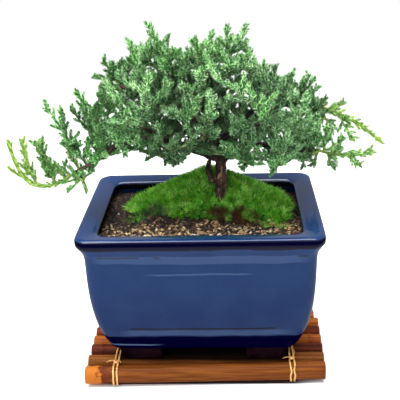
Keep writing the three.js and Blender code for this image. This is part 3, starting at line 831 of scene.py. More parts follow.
def mossMaterial(plan, name, leaves):
    material, tree, shader, place = newMaterial(name, Roughness=0.85)
    if leaves:
        green = ramp(
            tree, readValue(tree, "tint"), (0.0, 38, 104, 14), (0.4, 92, 190, 40), (0.7, 164, 242, 88),
            (1.0, 236, 255, 160),
        )
        patchy = between(tree, noise(tree, place, 130.0, 3.0), 0.4, 0.62)
        green = mixed(tree, patchy, green, rgb(192, 220, 130), "MULTIPLY")
    else:
        green = mottled(tree, place, 160.0, 900.0, 0.5, (12, 34, 6), (30, 76, 14))

    def distanceTo(centre):
        return vectors(tree, "DISTANCE", place, [c * mm for c in centre])

    dead = 0.0
    uneven = wander(tree, place, 160.0, 2.0, 0.02)
    for centre, radius in plan["redPatches"]:
        away = plus(tree, distanceTo(centre), uneven)
        near = between(tree, away, radius * mm * 0.45, radius * mm, 1.0, 0.0)
        dead = maths(tree, "MAXIMUM", dead, near)
    red = mottled(tree, place, 400.0, 1500.0, 0.5, (52, 18, 20), (112, 48, 40))
    colour = mixed(tree, times(tree, dead, 0.95), green, red)
    centre, radius = plan["greyPatch"]
    grey = between(tree, distanceTo(centre), radius * mm * 0.4, radius * mm, 0.7, 0.0)
    tree.links.new(mixed(tree, grey, colour, rgb(70, 84, 66)), shader.inputs["Base Color"])
    return material


mossBed = makeMossBed(mossPlan)
soilBed = makeSoilBed(soilPlan)
ground = treeOf(soilBed)
chips = makeChips(soilPlan, ground, treeOf(mossBed))
dress(soilBed, soilMaterial())
dress(chips, chipMaterial())
finishPiece(joined([soilBed, chips]), None, "soilAndChips", "soil", "soil", angle=25)
print("soil")
tufts = makeTufts(mossPlan, mossBed, ground)
dress(mossBed, mossMaterial(mossPlan, "mossCushion", False))
dress(tufts, mossMaterial(mossPlan, "mossLeaves", True))
finishPiece(joined([mossBed, tufts]), None, "mossCushion", "moss", "moss", angle=60)
print("moss")


# The trunk and the branches. Each limb is a row of points with the wood's radius at each: (x, y, z, radius).
limbs = {
    "trunk": [
        (12.4, 0, 82, 4.2), (12.6, 0, 98, 5.2), (12.2, -0.4, 108, 4.8), (12.4, -0.4, 116, 3.9),
        (13.4, 0, 124, 4.3), (13, 0.4, 131, 3.8), (13.3, 0.6, 138, 4), (13.2, 2, 146, 3.6),
        (11, 5, 153.5, 3), (7, 7, 163, 2.5), (4, 6, 174, 2.1), (5, 4, 186, 1.6), (6, 4, 195, 1.2),
    ],
    "root": [
        (12.4, 0.6, 104, 3), (9.4, 3.4, 115, 2.6), (6.2, 6.4, 125, 2.4), (4.6, 7.6, 131, 2.2),
        (5.4, 7.8, 136, 1.6),
    ],
    "leftLow": [
        (12, 0, 141, 3.4), (-1.7, -5, 148, 3), (-18.3, -9, 154, 2.5), (-36.7, -12, 157.5, 2.2),
        (-50.6, -13, 155, 1.9), (-59.8, -14, 148.8, 1.7), (-67.7, -15, 143.6, 1.5),
        (-78.4, -15, 138.4, 1.2),
    ],
    "leftHigh": [
        (10, 5, 155, 2.3), (-4, 4, 166, 1.9), (-22, 2, 175, 1.6), (-38, 0, 183, 1.4), (-48, -2, 190, 1.1),
    ],
    "rightLow": [
        (13.4, 1, 143, 2.8), (24, -5, 150, 2.3), (38, -10, 152.5, 2), (52, -13, 152, 1.7),
        (64, -15, 150, 1.4), (74, -16, 150, 1.1),
    ],
    "rightHigh": [
        (12.5, 4, 149, 2.6), (24, 9, 158, 2.1), (40, 12, 166, 1.7), (54, 14, 171, 1.5), (66, 15, 172, 1.2),
    ],
    "rightMiddle": [(12.5, 4, 151, 2.2), (26, 0, 164, 1.8), (37, -4, 176, 1.5), (44, -8, 186, 1.1)],
    "front": [(13.2, 1, 147, 2.2), (10, -12, 158, 1.8), (3, -25, 170, 1.4), (-2, -34, 178, 1.1)],
    "frontRight": [(13, 3, 149, 2.2), (22, -10, 160, 1.7), (31, -22, 168, 1.4), (38, -30, 172, 1.1)],
    "frontLeft": [(-17, -8.6, 153.6, 2), (-24, -20, 163, 1.5), (-32, -31, 171, 1.1)],
    "back": [(12, 4, 151, 2.4), (14, 20, 162, 1.9), (13, 34, 170, 1.5), (11, 44, 175, 1.1)],
    "backLeft": [(9, 6, 158, 2.2), (-8, 20, 168, 1.7), (-26, 32, 173, 1.4), (-42, 38, 173, 1.1)],
    "backRight": [(13, 4, 148, 2.2), (28, 20, 158, 1.7), (43, 30, 164, 1.4), (55, 36, 166, 1.1)],
    "topLeft": [(4.3, 6, 172, 1.9), (-8, 5, 187, 1.5), (-17, 3, 199, 1.1)],
    "topRight": [(4.6, 5, 177, 1.9), (14, 4, 190, 1.5), (21, 2, 200, 1.1)],
}

barkPlan = {
    "spacing": 2.2,  # along a limb
    "gnarl": 0.13,  # how far the radius swells and shrinks
    "sides": 10,
    "grain": 0.55,
    "relief": [("barkRidges", 1.9, 0.9), ("barkFlakes", 0.8, 0.5)],  # name, size, strength
    "stretch": (1, 1, 2.6),  # along the trunk
    "seed": 5,
    "shadeFrom": (0.128, 0.146),  # heights between which the bark turns darker: painted shade inside the crown
    "crownHeart": (0.012, 0.0, 0.14),
}


def limbAt(controls, share):  # a smooth line through points: uniform Catmull-Rom, with its ends drawn on
    points = [Vector(c) for c in controls]
    place = min(share, 0.999999) * (len(points) - 1)
    index = int(place)
    t = place - index
    p1, p2 = points[index], points[index + 1]
    p0 = points[index - 1] if index else 2 * p1 - p2
    p3 = points[index + 2] if index + 2 < len(points) else 2 * p2 - p1
    start, end = (p2 - p0) / 2, (p3 - p1) / 2
    rest = start * (t**3 - 2 * t**2 + t)
    return p1 * (2 * t**3 - 3 * t**2 + 1) + rest + p2 * (3 * t**2 - 2 * t**3) + end * (t**3 - t**2)


def tube(points, radii, sides=6):
    line = bpy.data.curves.new("tube", "CURVE")
    line.dimensions = "3D"
    line.bevel_depth = 1.0
    line.bevel_resolution = (sides - 4) // 2
    line.use_fill_caps = True
    spline = line.splines.new("POLY")
    spline.points.add(len(points) - 1)
    for point, place, radius in zip(spline.points, points, radii):
        point.co = (*place[:3], 1)
        point.radius = radius
    selectOnly(linked("tube", line))
    bpy.ops.object.convert(target="MESH")
    return bpy.context.object


def makeWood(plan):
    draw = random.Random(plan["seed"])
    parts = []
    for controls in limbs.values():
        length = sum((Vector(b[:3]) - Vector(a[:3])).length for a, b in zip(controls, controls[1:]))
        steps = max(6, round(length / plan["spacing"]))
        places = [limbAt(controls, i / steps) for i in range(steps + 1)]
        places.append(places[-1] + (places[-1] - places[-2]) * 0.5)
        radii = [p[3] * (1 + plan["gnarl"] * draw.uniform(-1, 1)) for p in places[:-1]]
        radii.append(places[-2][3] * 0.4)
        parts.append(tube(places, radii, plan["sides"]))
    wood = joined(parts)
    applied(wood, "REMESH", mode="VOXEL", voxel_size=plan["grain"])
    applied(wood, "SMOOTH", factor=0.5, iterations=3)
    stretched = linked("alongTheTrunk", None)
    stretched.scale = plan["stretch"]
    bpy.context.view_layer.update()
    for name, size, strength in plan["relief"]:
        applied(wood, "DISPLACE", texture=cloudTexture(name, size), strength=strength, mid_level=0.55,
                texture_coords="OBJECT", texture_coords_object=stretched)
    discard(stretched)
    return wood


def barkMaterial(plan):
    material, tree, shader, place = newMaterial("juniperBark", Roughness=0.85)
    brown = mottled(tree, place, 170.0, 900.0, 0.52, (24, 14, 14), (86, 60, 50))
    tan = between(tree, noise(tree, place, 420.0, 3.0, (1, 1, 0.4)), 0.56, 0.7, 0.0, 0.75)
    colour = mixed(tree, tan, brown, rgb(168, 128, 100))
    # painted shade: the bark darkens upwards into the crown
    shaded = between(tree, axesOf(tree, place)[2], *plan["shadeFrom"], 0.0, 0.85)
    colour = mixed(tree, shaded, colour, rgb(14, 10, 10))
    # painted light: the limbs paler away from the crown's heart
    out = vectors(tree, "DISTANCE", place, plan["crownHeart"])
    colour = mixed(tree, between(tree, out, 0.05, 0.085, 0.0, 0.75), colour, rgb(92, 70, 54))
    tree.links.new(colour, shader.inputs["Base Color"])
    relieved(tree, shader, place, 1100.0, 0.7, 0.0005)
    return material


wood = makeWood(barkPlan)
finishPiece(wood, barkMaterial(barkPlan), "trunkAndBranches", "bark", "trunk_and_branches", angle=60)
print("trunk and branches")


# The foliage. A spray: the limb it grows on, how far along, and its leafy axes. An axis runs to its tip, from
# the limb or from a share of the way along the first axis, and by a bend if one is given.
def axis(tip, start=0.0, bend=None):
    return tip, start, bend


sprays = {
    "left_tip": ("leftLow", 1, [
        axis((-119.5, -15, 162.8), 0, (-115, -15, 111)), axis((-111.7, -10, 159.7), 0.42, (-112, -11, 140)),
        axis((-96.3, -24, 163.9), 0.2, (-96, -20, 144)),
    ]),
    "left_drop": ("leftLow", 0.97, [axis((-71, -22, 127.6)), axis((-84, -23, 129), 0.3)]),
    "left_fan": ("leftLow", 0.9, [axis((-94, -18, 186.7), 0, (-80, -20, 160)), axis((-83, -28, 163), 0.3)]),
    "left_rise": ("leftLow", 0.8, [axis((-75, -9, 190.5), 0, (-66, -8, 168)), axis((-70, -2, 172), 0.4)]),
    "left_shoulder": ("leftHigh", 1, [axis((-57.6, -5, 209.3)), axis((-63.5, -10, 199), 0.3)]),
    "left_front": ("leftLow", 0.7, [axis((-64, -24, 184), 0, (-58, -22, 166)), axis((-58, -36, 166), 0.35)]),
    "left_front_low": ("leftLow", 0.56, [axis((-47, -30, 177)), axis((-43, -33, 155), 0.35)]),
    "left_under": ("leftLow", 0.35, [axis((-18.5, -23, 147)), axis((-33, -24, 150), 0.4)]),
    "left_inner_top": ("leftHigh", 0.7, [
        axis((-43.9, 10, 216.8), 0, (-34, 8, 196)), axis((-31, 14, 205), 0.4),
    ]),
    "left_inner_front": ("leftHigh", 0.5, [axis((-33, -24, 203)), axis((-42, -22, 193), 0.4)]),
    "left_back": ("leftHigh", 0.85, [axis((-56, 24, 200)), axis((-62, 14, 188), 0.4)]),
    "left_low_back": ("leftLow", 0.48, [axis((-46, 16, 160)), axis((-36, 14, 150), 0.4)]),
    "peak_left": ("topLeft", 1, [axis((-28.9, 0, 228.2)), axis((-18, 9, 220), 0.25)]),
    "peak_left_front": ("topLeft", 0.55, [axis((-19.5, -30, 212.4)), axis((-7, -27, 205), 0.4)]),
    "peak_middle": ("trunk", 1, [axis((-1.5, -5, 220.2)), axis((9.5, 10, 222), 0.3)]),
    "peak_right": ("topRight", 1, [axis((18.1, -1, 227)), axis((31, 13, 224.4), 0.3)]),
    "peak_right_front": ("topRight", 0.55, [axis((30.3, -16, 211.7)), axis((19, -28, 207), 0.4)]),
    "peak_back": ("trunk", 0.9, [axis((-4, 34, 213)), axis((16, 36, 209), 0.35)]),
    "peak_front": ("trunk", 0.84, [axis((3.4, -42, 210)), axis((-8, -38, 199), 0.4)]),
    "right_shoulder": ("rightMiddle", 1, [axis((47.4, -16, 205.2)), axis((58, -22, 192), 0.3)]),
    "right_shoulder_back": ("rightHigh", 0.45, [
        axis((42, 14, 200), 0, (36, 14, 184)), axis((32, 24, 193), 0.5),
    ]),
    "right_crest": ("rightHigh", 0.68, [axis((59, 5, 195.5)), axis((55, 20, 190), 0.35)]),
    "right_rise": ("rightHigh", 0.92, [axis((69.8, 10, 193)), axis((76, 2, 187), 0.35)]),
    "right_tip": ("rightHigh", 1, [
        axis((119.6, 15, 143.1), 0, (98, 15, 165)), axis((81.4, 9, 177.5), 0.12),
        axis((94.4, 21, 171.3), 0.28), axis((99, 6, 150), 0.4),
    ]),
    "right_low_tip": ("rightLow", 1, [
        axis((107.9, -16, 149), 0, (92, -17, 144)), axis((88.5, -19, 161), 0.25),
        axis((83, -24, 141), 0.15), axis((99, -24, 143), 0.5),
    ]),
    "right_low_rise": ("rightLow", 0.85, [axis((68, -22, 168)), axis((62.5, -28, 143), 0.2)]),
    "right_low_middle": ("rightLow", 0.6, [axis((44, -34, 142)), axis((56, -36, 158), 0.4)]),
    "right_low_front": ("rightLow", 0.3, [axis((26.4, -36, 146)), axis((24, -49, 162), 0.4)]),
    "front_right": ("frontRight", 1, [axis((51, -50, 177)), axis((38, -58, 188), 0.3)]),
    "front_right_inner": ("frontRight", 0.6, [
        axis((25, -50, 178), 0, (28, -36, 166)), axis((37, -44, 160), 0.4),
    ]),
    "front_middle": ("front", 1, [axis((-14, -58, 189)), axis((3, -61, 197), 0.3)]),
    "front_low": ("front", 0.6, [axis((11.5, -52, 172)), axis((-3, -46, 167), 0.4)]),
    "front_left": ("frontLeft", 1, [axis((-40, -48, 186)), axis((-26, -54, 199), 0.3)]),
    "front_left_low": ("frontLeft", 0.5, [axis((-26, -44, 163)), axis((-42, -44, 169), 0.4)]),
    "back_middle": ("back", 1, [axis((4, 61, 192)), axis((22, 58, 186), 0.3)]),
    "back_low": ("back", 0.6, [axis((22, 50, 163)), axis((2, 48, 160), 0.35)]),
    "back_left": ("backLeft", 1, [axis((-64, 44, 180)), axis((-52, 54, 176), 0.3)]),
    "back_left_inner": ("backLeft", 0.6, [
        axis((-28, 46, 198), 0, (-22, 36, 184)), axis((-30, 54, 176), 0.4),
    ]),
    "back_right": ("backRight", 1, [axis((76, 42, 174)), axis((68, 52, 164), 0.3)]),
    "back_right_inner": ("backRight", 0.6, [
        axis((46, 42, 190), 0, (40, 36, 178)), axis((44, 52, 164), 0.35),
    ]),
}

youngSprays = {  # how yellow-green each axis of a spray is, from 0 to 1, then each side shoot
    "left_tip": (1.0, 0.95, 0.4, 1.0, 0.3, 0.45, 0.45),
    "left_drop": (0.45, 0.3, 0.75, 0.35),
    "right_tip": (1.0, 0.3, 0.45, 0.5, 0.45),
    "right_low_tip": (0.6, 0.25, 0.25, 0.5, 0.12, 0.2, 0.15, 0.2, 0.1),
}
sideShoots = {  # more axes for the sprays that stand clear: where they leave the first axis, and their tips
    "left_tip": [
        (0.6, (-122, -15, 142.6)), (0.2, (-99.3, -28, 164)), (0.1, (-90.6, -20, 148)),
        (0.05, (-87, -18, 143.6)),
    ],
    "left_drop": [(0.0, (-85.4, -12, 159.2)), (0.25, (-88.3, -22, 133.8))],
    "left_fan": [(0.5, (-81.8, -24, 184.2))],
    "left_rise": [(0.35, (-78.5, -14, 181.4)), (0.35, (-72.2, -4, 181.4))],
    "right_rise": [(0.4, (66.3, 14, 190.2)), (0.45, (73.6, 6, 191.5)), (0.2, (73, 12, 181))],
    "right_tip": [(0.2, (85.8, 6, 154.3))],
    "right_low_tip": [
        (0.02, (70.5, -19, 170.5)), (0.08, (77.7, -22, 167.7)), (0.0, (64, -21, 148)),
        (0.0, (69.5, -17, 140.5)), (0.06, (66, -12, 153)),
    ],
}
slimLeaders = {  # how long the twigs of a slim first axis are
    "left_tip": 0.5, "right_tip": 0.7, "right_low_tip": 0.95, "left_drop": 0.6,
}
fuller = {"right_tip": 20, "right_low_tip": 18}  # an axis this long already has its longest twigs
crownPlan = {
    # The crown as the camera sees it, drawn at y = 0: x, underside, top; and its front and back there.
    "outline": [
        (-88, 128, 140, -26, -8), (-84, 125, 154, -30, -4), (-76, 124, 164, -32, 4), (-68, 138, 172, -36, 20),
        (-60, 146, 196, -44, 38), (-50, 147, 200, -50, 50), (-40, 147, 212, -54, 54), (-28, 143, 221, -58, 58),
        (-15, 139, 213, -60, 60), (-5, 146, 213, -60, 60), (10, 149, 218, -60, 60), (20, 143, 221, -60, 60),
        (31, 137, 219, -58, 58), (37, 136, 201, -56, 56), (46, 136, 197, -52, 54), (60, 139, 190, -42, 50),
        (69, 143, 186, -34, 46), (75, 158, 176, -24, 34),
    ],
    "top": (222.0, 0.011),  # height over the middle, and how fast it falls to front and back
    "floor": 138.0,
    "reach": ((-88, 75), (-60, 60), (124, 222)),  # where places are tried
    "gaps": [((1, 158), 5.5), ((-10, 153.5), 4.0), ((9, 149.5), 4.0)],  # where one sees through
    "shoots": 800,
    "tries": 70,
    "length": (13.0, 32.0),
    "seenWeight": 6,  # how much more a gap that the camera sees counts
    "sparse": (-62, 0.6),  # left of this, how much an empty place counts
    "sag": (0.16, 0.12, 0.14),  # of an axis, a side shoot and a filling shoot, as a share of its length
}
leafPlan = {
    "needle": 3.9,
    "needleWidth": 0.44,  # from its middle to a corner
    "lean": 42,
    "whorlStep": 0.95,
    "whorlTurn": 63,
    "tip": 2.8,  # length of a shoot's rounded end
    "twigs": [  # whorls, degrees of bend, then its own side shoots: height, turn, whorls
        (13, 0, [(3.0, 20, 6), (5.0, 190, 5)]), (10, 14, [(2.4, 100, 5)]), (7, -12, []),
        (11, 22, [(2.6, 290, 6), (4.6, 120, 4)]), (5, 0, []),
    ],
    "sideLean": 34,
    "spacing": 2.5,  # along an axis, from twig to twig
    "twigLength": (12.5, 32),  # near the foot of an axis of this length or more
    "twigLean": 0.66,
    "rise": 0.32,
    "ownWhorls": 1.0,  # spacing of the needles that stand on the axis itself
    "leaderTwigs": 1.4,  # times as many twigs on a slim leader
    "spiral": 137.5,  # degrees from twig to twig
    "steps": 14,  # an axis is drawn in so many
    "stemRadius": 0.75,
    "margin": 3.0,  # a twig stays this far from the furthest tips
    "old": 0.08,  # how yellow-green the old shoots are
    "seed": 20407,
}


def needleRing(plan):  # three awl-shaped needles round an upright stem
    length, width = plan["needle"], plan["needleWidth"]
    bpy.ops.mesh.primitive_cone_add(vertices=3, radius1=width, depth=length * 0.7, end_fill_type="NGON")
    ring = bpy.context.object
    with editing():
        selectFaces(ring, lambda centre, normal: normal.z < -0.9)
        lift(0, 0, -length * 0.3)
        bpy.ops.mesh.merge(type="COLLAPSE")
        bpy.ops.mesh.select_all(action="SELECT")
        bpy.ops.transform.translate(value=(0, 0, length * 0.65))
        bpy.ops.transform.resize(value=(1.15, 0.8, 1), center_override=(0, 0, 0))
        swing(-plan["lean"], "X")
        bpy.ops.transform.translate(value=(0, 0.25, 0))
        bpy.ops.mesh.spin(steps=2, dupli=True, angle=math.radians(240), center=(0, 0, 0), axis=(0, 0, 1))
    return ring


def makeShoot(plan, whorls, bend, seed):
    shoot = needleRing(plan)
    step = linked("nextWhorl", None)
    step.location = (0, 0, plan["whorlStep"])
    step.rotation_euler = (0, 0, math.radians(plan["whorlTurn"]))
    step.scale = (0.98, 0.98, 0.985)
    bpy.context.view_layer.update()
    applied(shoot, "ARRAY", count=whorls, use_relative_offset=False, use_object_offset=True, offset_object=step)
    discard(step)
    corners = shoot.data.vertices
    top = max(corner.co.z for corner in corners)
    reach = plan["needle"] * math.sin(math.radians(plan["lean"]))
    # how far out from the stem each corner lies: the needle material paints shade at the needles' bases with it
    out = shoot.data.attributes.new("out", "FLOAT", "POINT")
    out.data.foreach_set("value", [min(1, math.hypot(v.co.x, v.co.y) / reach) for v in corners])
    for corner in corners:
        near = (corner.co.z - top) / plan["tip"] + 1
        if near > 0:
            corner.co.x *= 1 - 0.6 * near * near
            corner.co.y *= 1 - 0.6 * near * near
    with editing():
        bpy.ops.transform.vertex_random(offset=0.16, seed=seed)
    if bend:
        applied(shoot, "SIMPLE_DEFORM", deform_method="BEND", deform_axis="X", angle=math.radians(bend))
    return shoot


def shadeNeedles(piece, seed):  # a value for each needle
    draw = random.Random(seed)
    corners = 5
    count = len(piece.data.vertices)
    shades = [draw.random() for _ in range(count // corners + 1)]
    shade = piece.data.attributes.new("shade", "FLOAT", "POINT")
    shade.data.foreach_set("value", [shades[i // corners] for i in range(count)])


def twigModels(plan):
    models = []
    for index, (whorls, bend, sides) in enumerate(plan["twigs"]):
        parts = [makeShoot(plan, whorls, bend, index + 1)]
        for height, turn, count in sides:
            parts.append(makeShoot(plan, count, 0, index + 20))
            with editing():
                swing(plan["sideLean"], "X")
                swing(turn, "Z")
                bpy.ops.transform.translate(value=(0, 0, height))
        models.append(joined(parts))
        shadeNeedles(models[-1], index)
    models.append(makeShoot(plan, 1, 0, 9))
    shadeNeedles(models[-1], 77)
    return models


def curved(start, bend, tip):  # a place for each share of the way
    return lambda t: start * (1 - t) ** 2 + bend * 2 * t * (1 - t) + tip * t**2


def sagging(start, tip, sag):
    return curved(start, (start + tip) / 2 - Vector((0, 0, sag * (tip - start).length)), tip)


def axisLines(name):
    limb, at, axes = sprays[name]
    ownSag, sideSag, _ = crownPlan["sag"]
    lines = []
    for tip, share, bend in axes:
        start, tip = lines[0](share) if lines else limbAt(limbs[limb], at).to_3d(), Vector(tip)
        lines.append(curved(start, Vector(bend), tip) if bend else sagging(start, tip, ownSag))
    for share, tip in sideShoots.get(name, []):
        lines.append(sagging(lines[0](share), Vector(tip), sideSag))
    return lines


def leaning(way, lean, turn):  # a direction that leans away from a stem, turned round it
    up = Vector((0, 1, 0)) if abs(way.z) > 0.95 else Vector((0, 0, 1))
    side = (up - way * up.dot(way)).normalized()
    other = way.cross(side)
    return way * math.cos(lean) + (side * math.cos(turn) + other * math.sin(turn)) * math.sin(lean)


def insideBox(place, margin):
    low, high = (corner / mm for corner in cadBox)
    return all(low[i] - margin < place[i] < high[i] + margin for i in range(3))


def seen(place):  # where the camera sees a place, on the upright plane y = 0
    camera = Vector(cameraPlan["place"])
    return camera + (place - camera) * (camera.y / (camera.y - place.y))


def inCrown(place, plan):
    view = seen(place)
    table = plan["outline"]
    if not table[0][0] < view.x < table[-1][0] or place.z < plan["floor"] - max(0, -place.x - 60):
        return False
    index = next(i for i in range(1, len(table)) if view.x < table[i][0])
    left, right = table[index - 1], table[index]
    share = (view.x - left[0]) / (right[0] - left[0])
    low, high, front, back = (a + (b - a) * share for a, b in zip(left[1:], right[1:]))
    top, fall = plan["top"]
    return low < view.z < high and front < place.y < back and place.z < top - fall * place.y**2


def inGap(place):
    view = seen(place)
    return any(math.hypot(view.x - x, view.z - z) < radius for (x, z), radius in crownPlan["gaps"])


def treeOfPoints(places):
    tree = KDTree(len(places))
    for i, place in enumerate(places):
        tree.insert(place, i)
    tree.balance()
    return tree


def emptiest(plan, leafy, draw):  # of the places tried, the one furthest from all that is leafy
    near, flat = treeOfPoints(leafy), treeOfPoints([seen(place) for place in leafy])
    edge, sparse = plan["sparse"]
    best, room = None, 0
    for _ in range(plan["tries"]):
        place = None
        while place is None or not inCrown(place, plan):
            place = Vector([draw.uniform(*span) for span in plan["reach"]])
        away = near.find(place)[2] + plan["seenWeight"] * flat.find(seen(place))[2]
        away *= sparse if place.x < edge else 1
        if away > room:
            best, room = place, away
    return best


def fillCrown(plan, draw):  # each further shoot grows towards the emptiest place left in the crown
    fillers = {name: [] for name in sprays}
    leafy, woody = [], []
    for name, (limb, at, _) in sprays.items():
        for line in axisLines(name):
            leafy += [line(i / 6) for i in range(1, 7)]
            woody += [(line(i / 8), name) for i in range(1, 6)]
        woody += [(limbAt(limbs[limb], at * share).to_3d(), name) for share in (0.6, 0.72, 0.84, 0.95)]
    shortest, longest = plan["length"]

    def effort(wood):  # to reach the place from there: at a shoot's length, and from below
        return abs((wood[0] - best).length - shortest) + 0.8 * max(0, wood[0].z - best.z + 9)

    for _ in range(plan["shoots"]):
        best = emptiest(plan, leafy, draw)
        start, name = min(woody, key=effort)
        reach = min((best - start).length, longest)
        tip = start + (best - start).normalized() * reach
        line = curved(start, (start + tip) / 2 - Vector((0, 0, plan["sag"][2] * reach)), tip)
        fillers[name].append(line)
        for i in range(1, 6):
            leafy.append(line(i / 5))
            if i < 4:
                woody.append((line(i / 5), name))
    return fillers


def makeSpray(name, plan, models, draw, fillers):
    spots, stems = [], []
    young = youngSprays.get(name, ())
    lengths = [twig[0] * plan["whorlStep"] * 0.93 + 2.4 for twig in plan["twigs"]]
    steps = plan["steps"]
    for order, line in enumerate(axisLines(name) + fillers):
        places = [line(i / steps) for i in range(steps + 1)]
        length = sum((b - a).length for a, b in zip(places, places[1:]))
        youth = young[order] if order < len(young) else plan["old"]
        slim = slimLeaders.get(name, 1) if order == 0 else 1
        twigLength, fullLength = plan["twigLength"]
        twigLength = twigLength * min(1, length / fuller.get(name, fullLength)) * slim
        end = 1 - plan["margin"] / length
        stems.append(tube(
            [line(end * i / steps) for i in range(steps + 1)],
            [plan["stemRadius"] * (1.15 - 0.75 * i / steps) * (1.6 - 0.6 * slim) for i in range(steps + 1)],
        ))

        def wayAt(share):
            return (line(min(share + 0.02, 1)) - line(max(share - 0.02, 0))).normalized()

        def add(place, way, size, kind, share):
            fresh = min(1, max(0, youth * (0.75 + 0.35 * share) + draw.uniform(-0.06, 0.06)))
            spots.append((place, turnTo(way, draw.uniform(0, 6.28)), size, kind, draw.random(), fresh, share))

        own = round(length / plan["ownWhorls"])
        for k in range(own):
            share = 0.04 + (end - 0.04) * k / own
            add(line(share), wayAt(share), draw.uniform(0.8, 1.05) * (2.3 - 1.3 * slim), 5, share)
        count = max(6, round(length / plan["spacing"] * (plan["leaderTwigs"] if slim < 1 else 1)))
        for k in range(count):
            share = 0.06 + (0.86 * (k + 0.5)) / count
            reach = twigLength * (1 - 0.45 * share) * draw.uniform(0.75, 1.15)
            turn = math.radians(plan["spiral"]) * k + draw.uniform(-0.4, 0.4)
            way = leaning(wayAt(share), plan["twigLean"] * draw.uniform(0.75, 1.15), turn)
            way.z += plan["rise"]
            way.normalize()
            place = line(share)
            if inGap(place + way * reach * 0.6):
                continue
            kind = min(range(5), key=lambda i: abs(lengths[i] - reach * draw.uniform(0.9, 1.1)))
            size = reach / lengths[kind]
            if not insideBox(place + way * reach, plan["margin"]):
                size *= 0.6
            add(place, way, size, kind, share)
        for kind, share, size in ((1, end - 4.0 / length, 0.8), (4, end - 1.0 / length, 0.7)):
            add(line(share), wayAt(share), size, kind, 1.0)
    return placeCopies(name, models, spots, ["tint", "young", "age"]), stems


def needleMaterial():
    material, tree, shader, place = newMaterial("juniperNeedles", Roughness=0.5)
    labels = ("shade", "tint", "young", "age", "out")
    shade, tint, young, age, out = (readValue(tree, label) for label in labels)
    # the needles darker at their bases (out): painted shade between the needles
    value = times(tree, shade, 0.5)
    for part, share in ((tint, 0.16), (age, 0.06), (out, 0.36)):
        value = plus(tree, value, times(tree, part, share))
    old = ramp(tree, value, (0.1, 7, 26, 14), (0.37, 50, 112, 60), (0.56, 146, 214, 134), (0.76, 238, 255, 214))
    fresh = ramp(tree, value, (0.1, 50, 92, 24), (0.4, 112, 158, 54), (0.7, 176, 208, 94), (0.9, 228, 246, 162))
    clumps = noise(tree, place, 30.0, 2.0)

    def tinted(mask, low, high, toLow, toHigh, *screen):  # the old needles, where the mask says
        return mixed(tree, between(tree, mask, low, high, toLow, toHigh), old, rgb(*screen), "MULTIPLY")

    # painted shade: darker, bluer needles in the crown's heart
    heart = vectors(tree, "LENGTH", mapped(tree, place, (0.05, -0.1, -2.9), (13, 18, 17.5)))
    old = tinted(heart, 0.4, 0.85, 0.85, 0.0, 96, 124, 128)
    # painted shade: the lower needles darker and bluer
    old = tinted(axesOf(tree, place)[2], 0.145, 0.2, 0.45, 0.0, 150, 200, 190)
    # painted shade: darker patches through the crown
    old = tinted(clumps, 0.46, 0.58, 0.0, 0.6, 98, 134, 140)
    # painted shade: a darker lower middle of the crown
    hollow = vectors(tree, "LENGTH", mapped(tree, place, (0.17, 0.37, -7.4), (34, 15, 45)))
    hollow = plus(tree, hollow, times(tree, minus(tree, clumps, 0.5), 2.0))
    old = tinted(hollow, 0.45, 1.1, 0.7, 0.0, 84, 118, 122)
    old = tinted(noise(tree, place, 22.0, 2.0), 0.45, 0.65, 0.0, 0.4, 170, 240, 130)
    tree.links.new(mixed(tree, young, old, fresh), shader.inputs["Base Color"])
    return material


def stemMaterial(name, *colours):
    material, tree, shader, place = newMaterial(name, Roughness=0.7)
    tree.links.new(mottled(tree, place, 200.0, 900.0, 0.5, *colours), shader.inputs["Base Color"])
    return material


def makeFoliage(plan):
    draw = random.Random(plan["seed"])
    models = twigModels(plan)
    fillers = fillCrown(crownPlan, draw)
    needles = needleMaterial()
    oldStem = stemMaterial("twigBark", (74, 60, 40), (92, 104, 56))
    youngStem = stemMaterial("youngStem", (118, 142, 56), (166, 180, 88))
    for name in sprays:
        leaves, stems = makeSpray(name, plan, models, draw, fillers[name])
        dress(leaves, needles)
        for stem in stems:
            dress(stem, youngStem if name in youngSprays else oldStem)
        slot = "young_needles" if name in youngSprays else "needles"
        finishPiece(joined([leaves, *stems]), None, "foliage_" + name, slot, "spray_" + name, angle=20)
    discard(*models)


makeFoliage(leafPlan)
print("foliage")


# The bamboo raft: poles over two battens.
raftPlan = {
    "round": (4.55, 9),  # the rounding of a pole's two upper edges, and its segments
    "node": 1.045,  # how far a node swells
    "nodeFromEnd": 7.5,
    "nodeRings": (-1.8, -0.7, 0, 0.7, 1.8),
    "spare": (1.04, 1.035),  # room left for that in depth and height
    "stretches": 12,
    "turned": {1: 4.3, 2: 2.0},  # how far the left ends of the front two poles stand forward
    "endHollow": (1.6, 0.3, 0.5),  # thickness of the cane, slope, depth
    "waver": 0.16,
    "edges": (0.25, 2, 50),
    "scar": [  # the front pole's left end: how far it reaches, softness, strength, colour
        (-61.0, 1.0, 0.7, (80, 36, 16)), (-65.5, 2.5, 0.75, (98, 32, 16)), (-69.5, 3.0, 0.85, (178, 104, 34)),
    ],
    "damp": [(0.056, 0.06), (0.0365, 0.0385)],  # metres from the middle where the painted shade under the pot ends
    "colours": [  # light and dark streaks, from the front pole back
        ((126, 71, 26), (94, 47, 15)), ((130, 77, 28), (92, 49, 15)), ((100, 40, 16), (56, 20, 9)),
        ((178, 98, 34), (126, 60, 18)), ((116, 48, 18), (70, 26, 10)), ((188, 108, 40), (132, 66, 22)),
        ((200, 118, 48), (138, 72, 26)), ((190, 110, 44), (132, 68, 26)), ((146, 72, 28), (96, 42, 16)),
    ],
    "seed": 311,
}
battenPlan = {
    "spare": (2.4, -0.6),  # room left for the front lashing and behind
    "cuts": 8,
    "narrow": 0.6,  # its underside against its top
    "edges": (0.7, 4, 30),
    # bamboo battens, coloured dark as painted shade under the raft
    "colours": ((40, 18, 18), (24, 10, 12)),
}


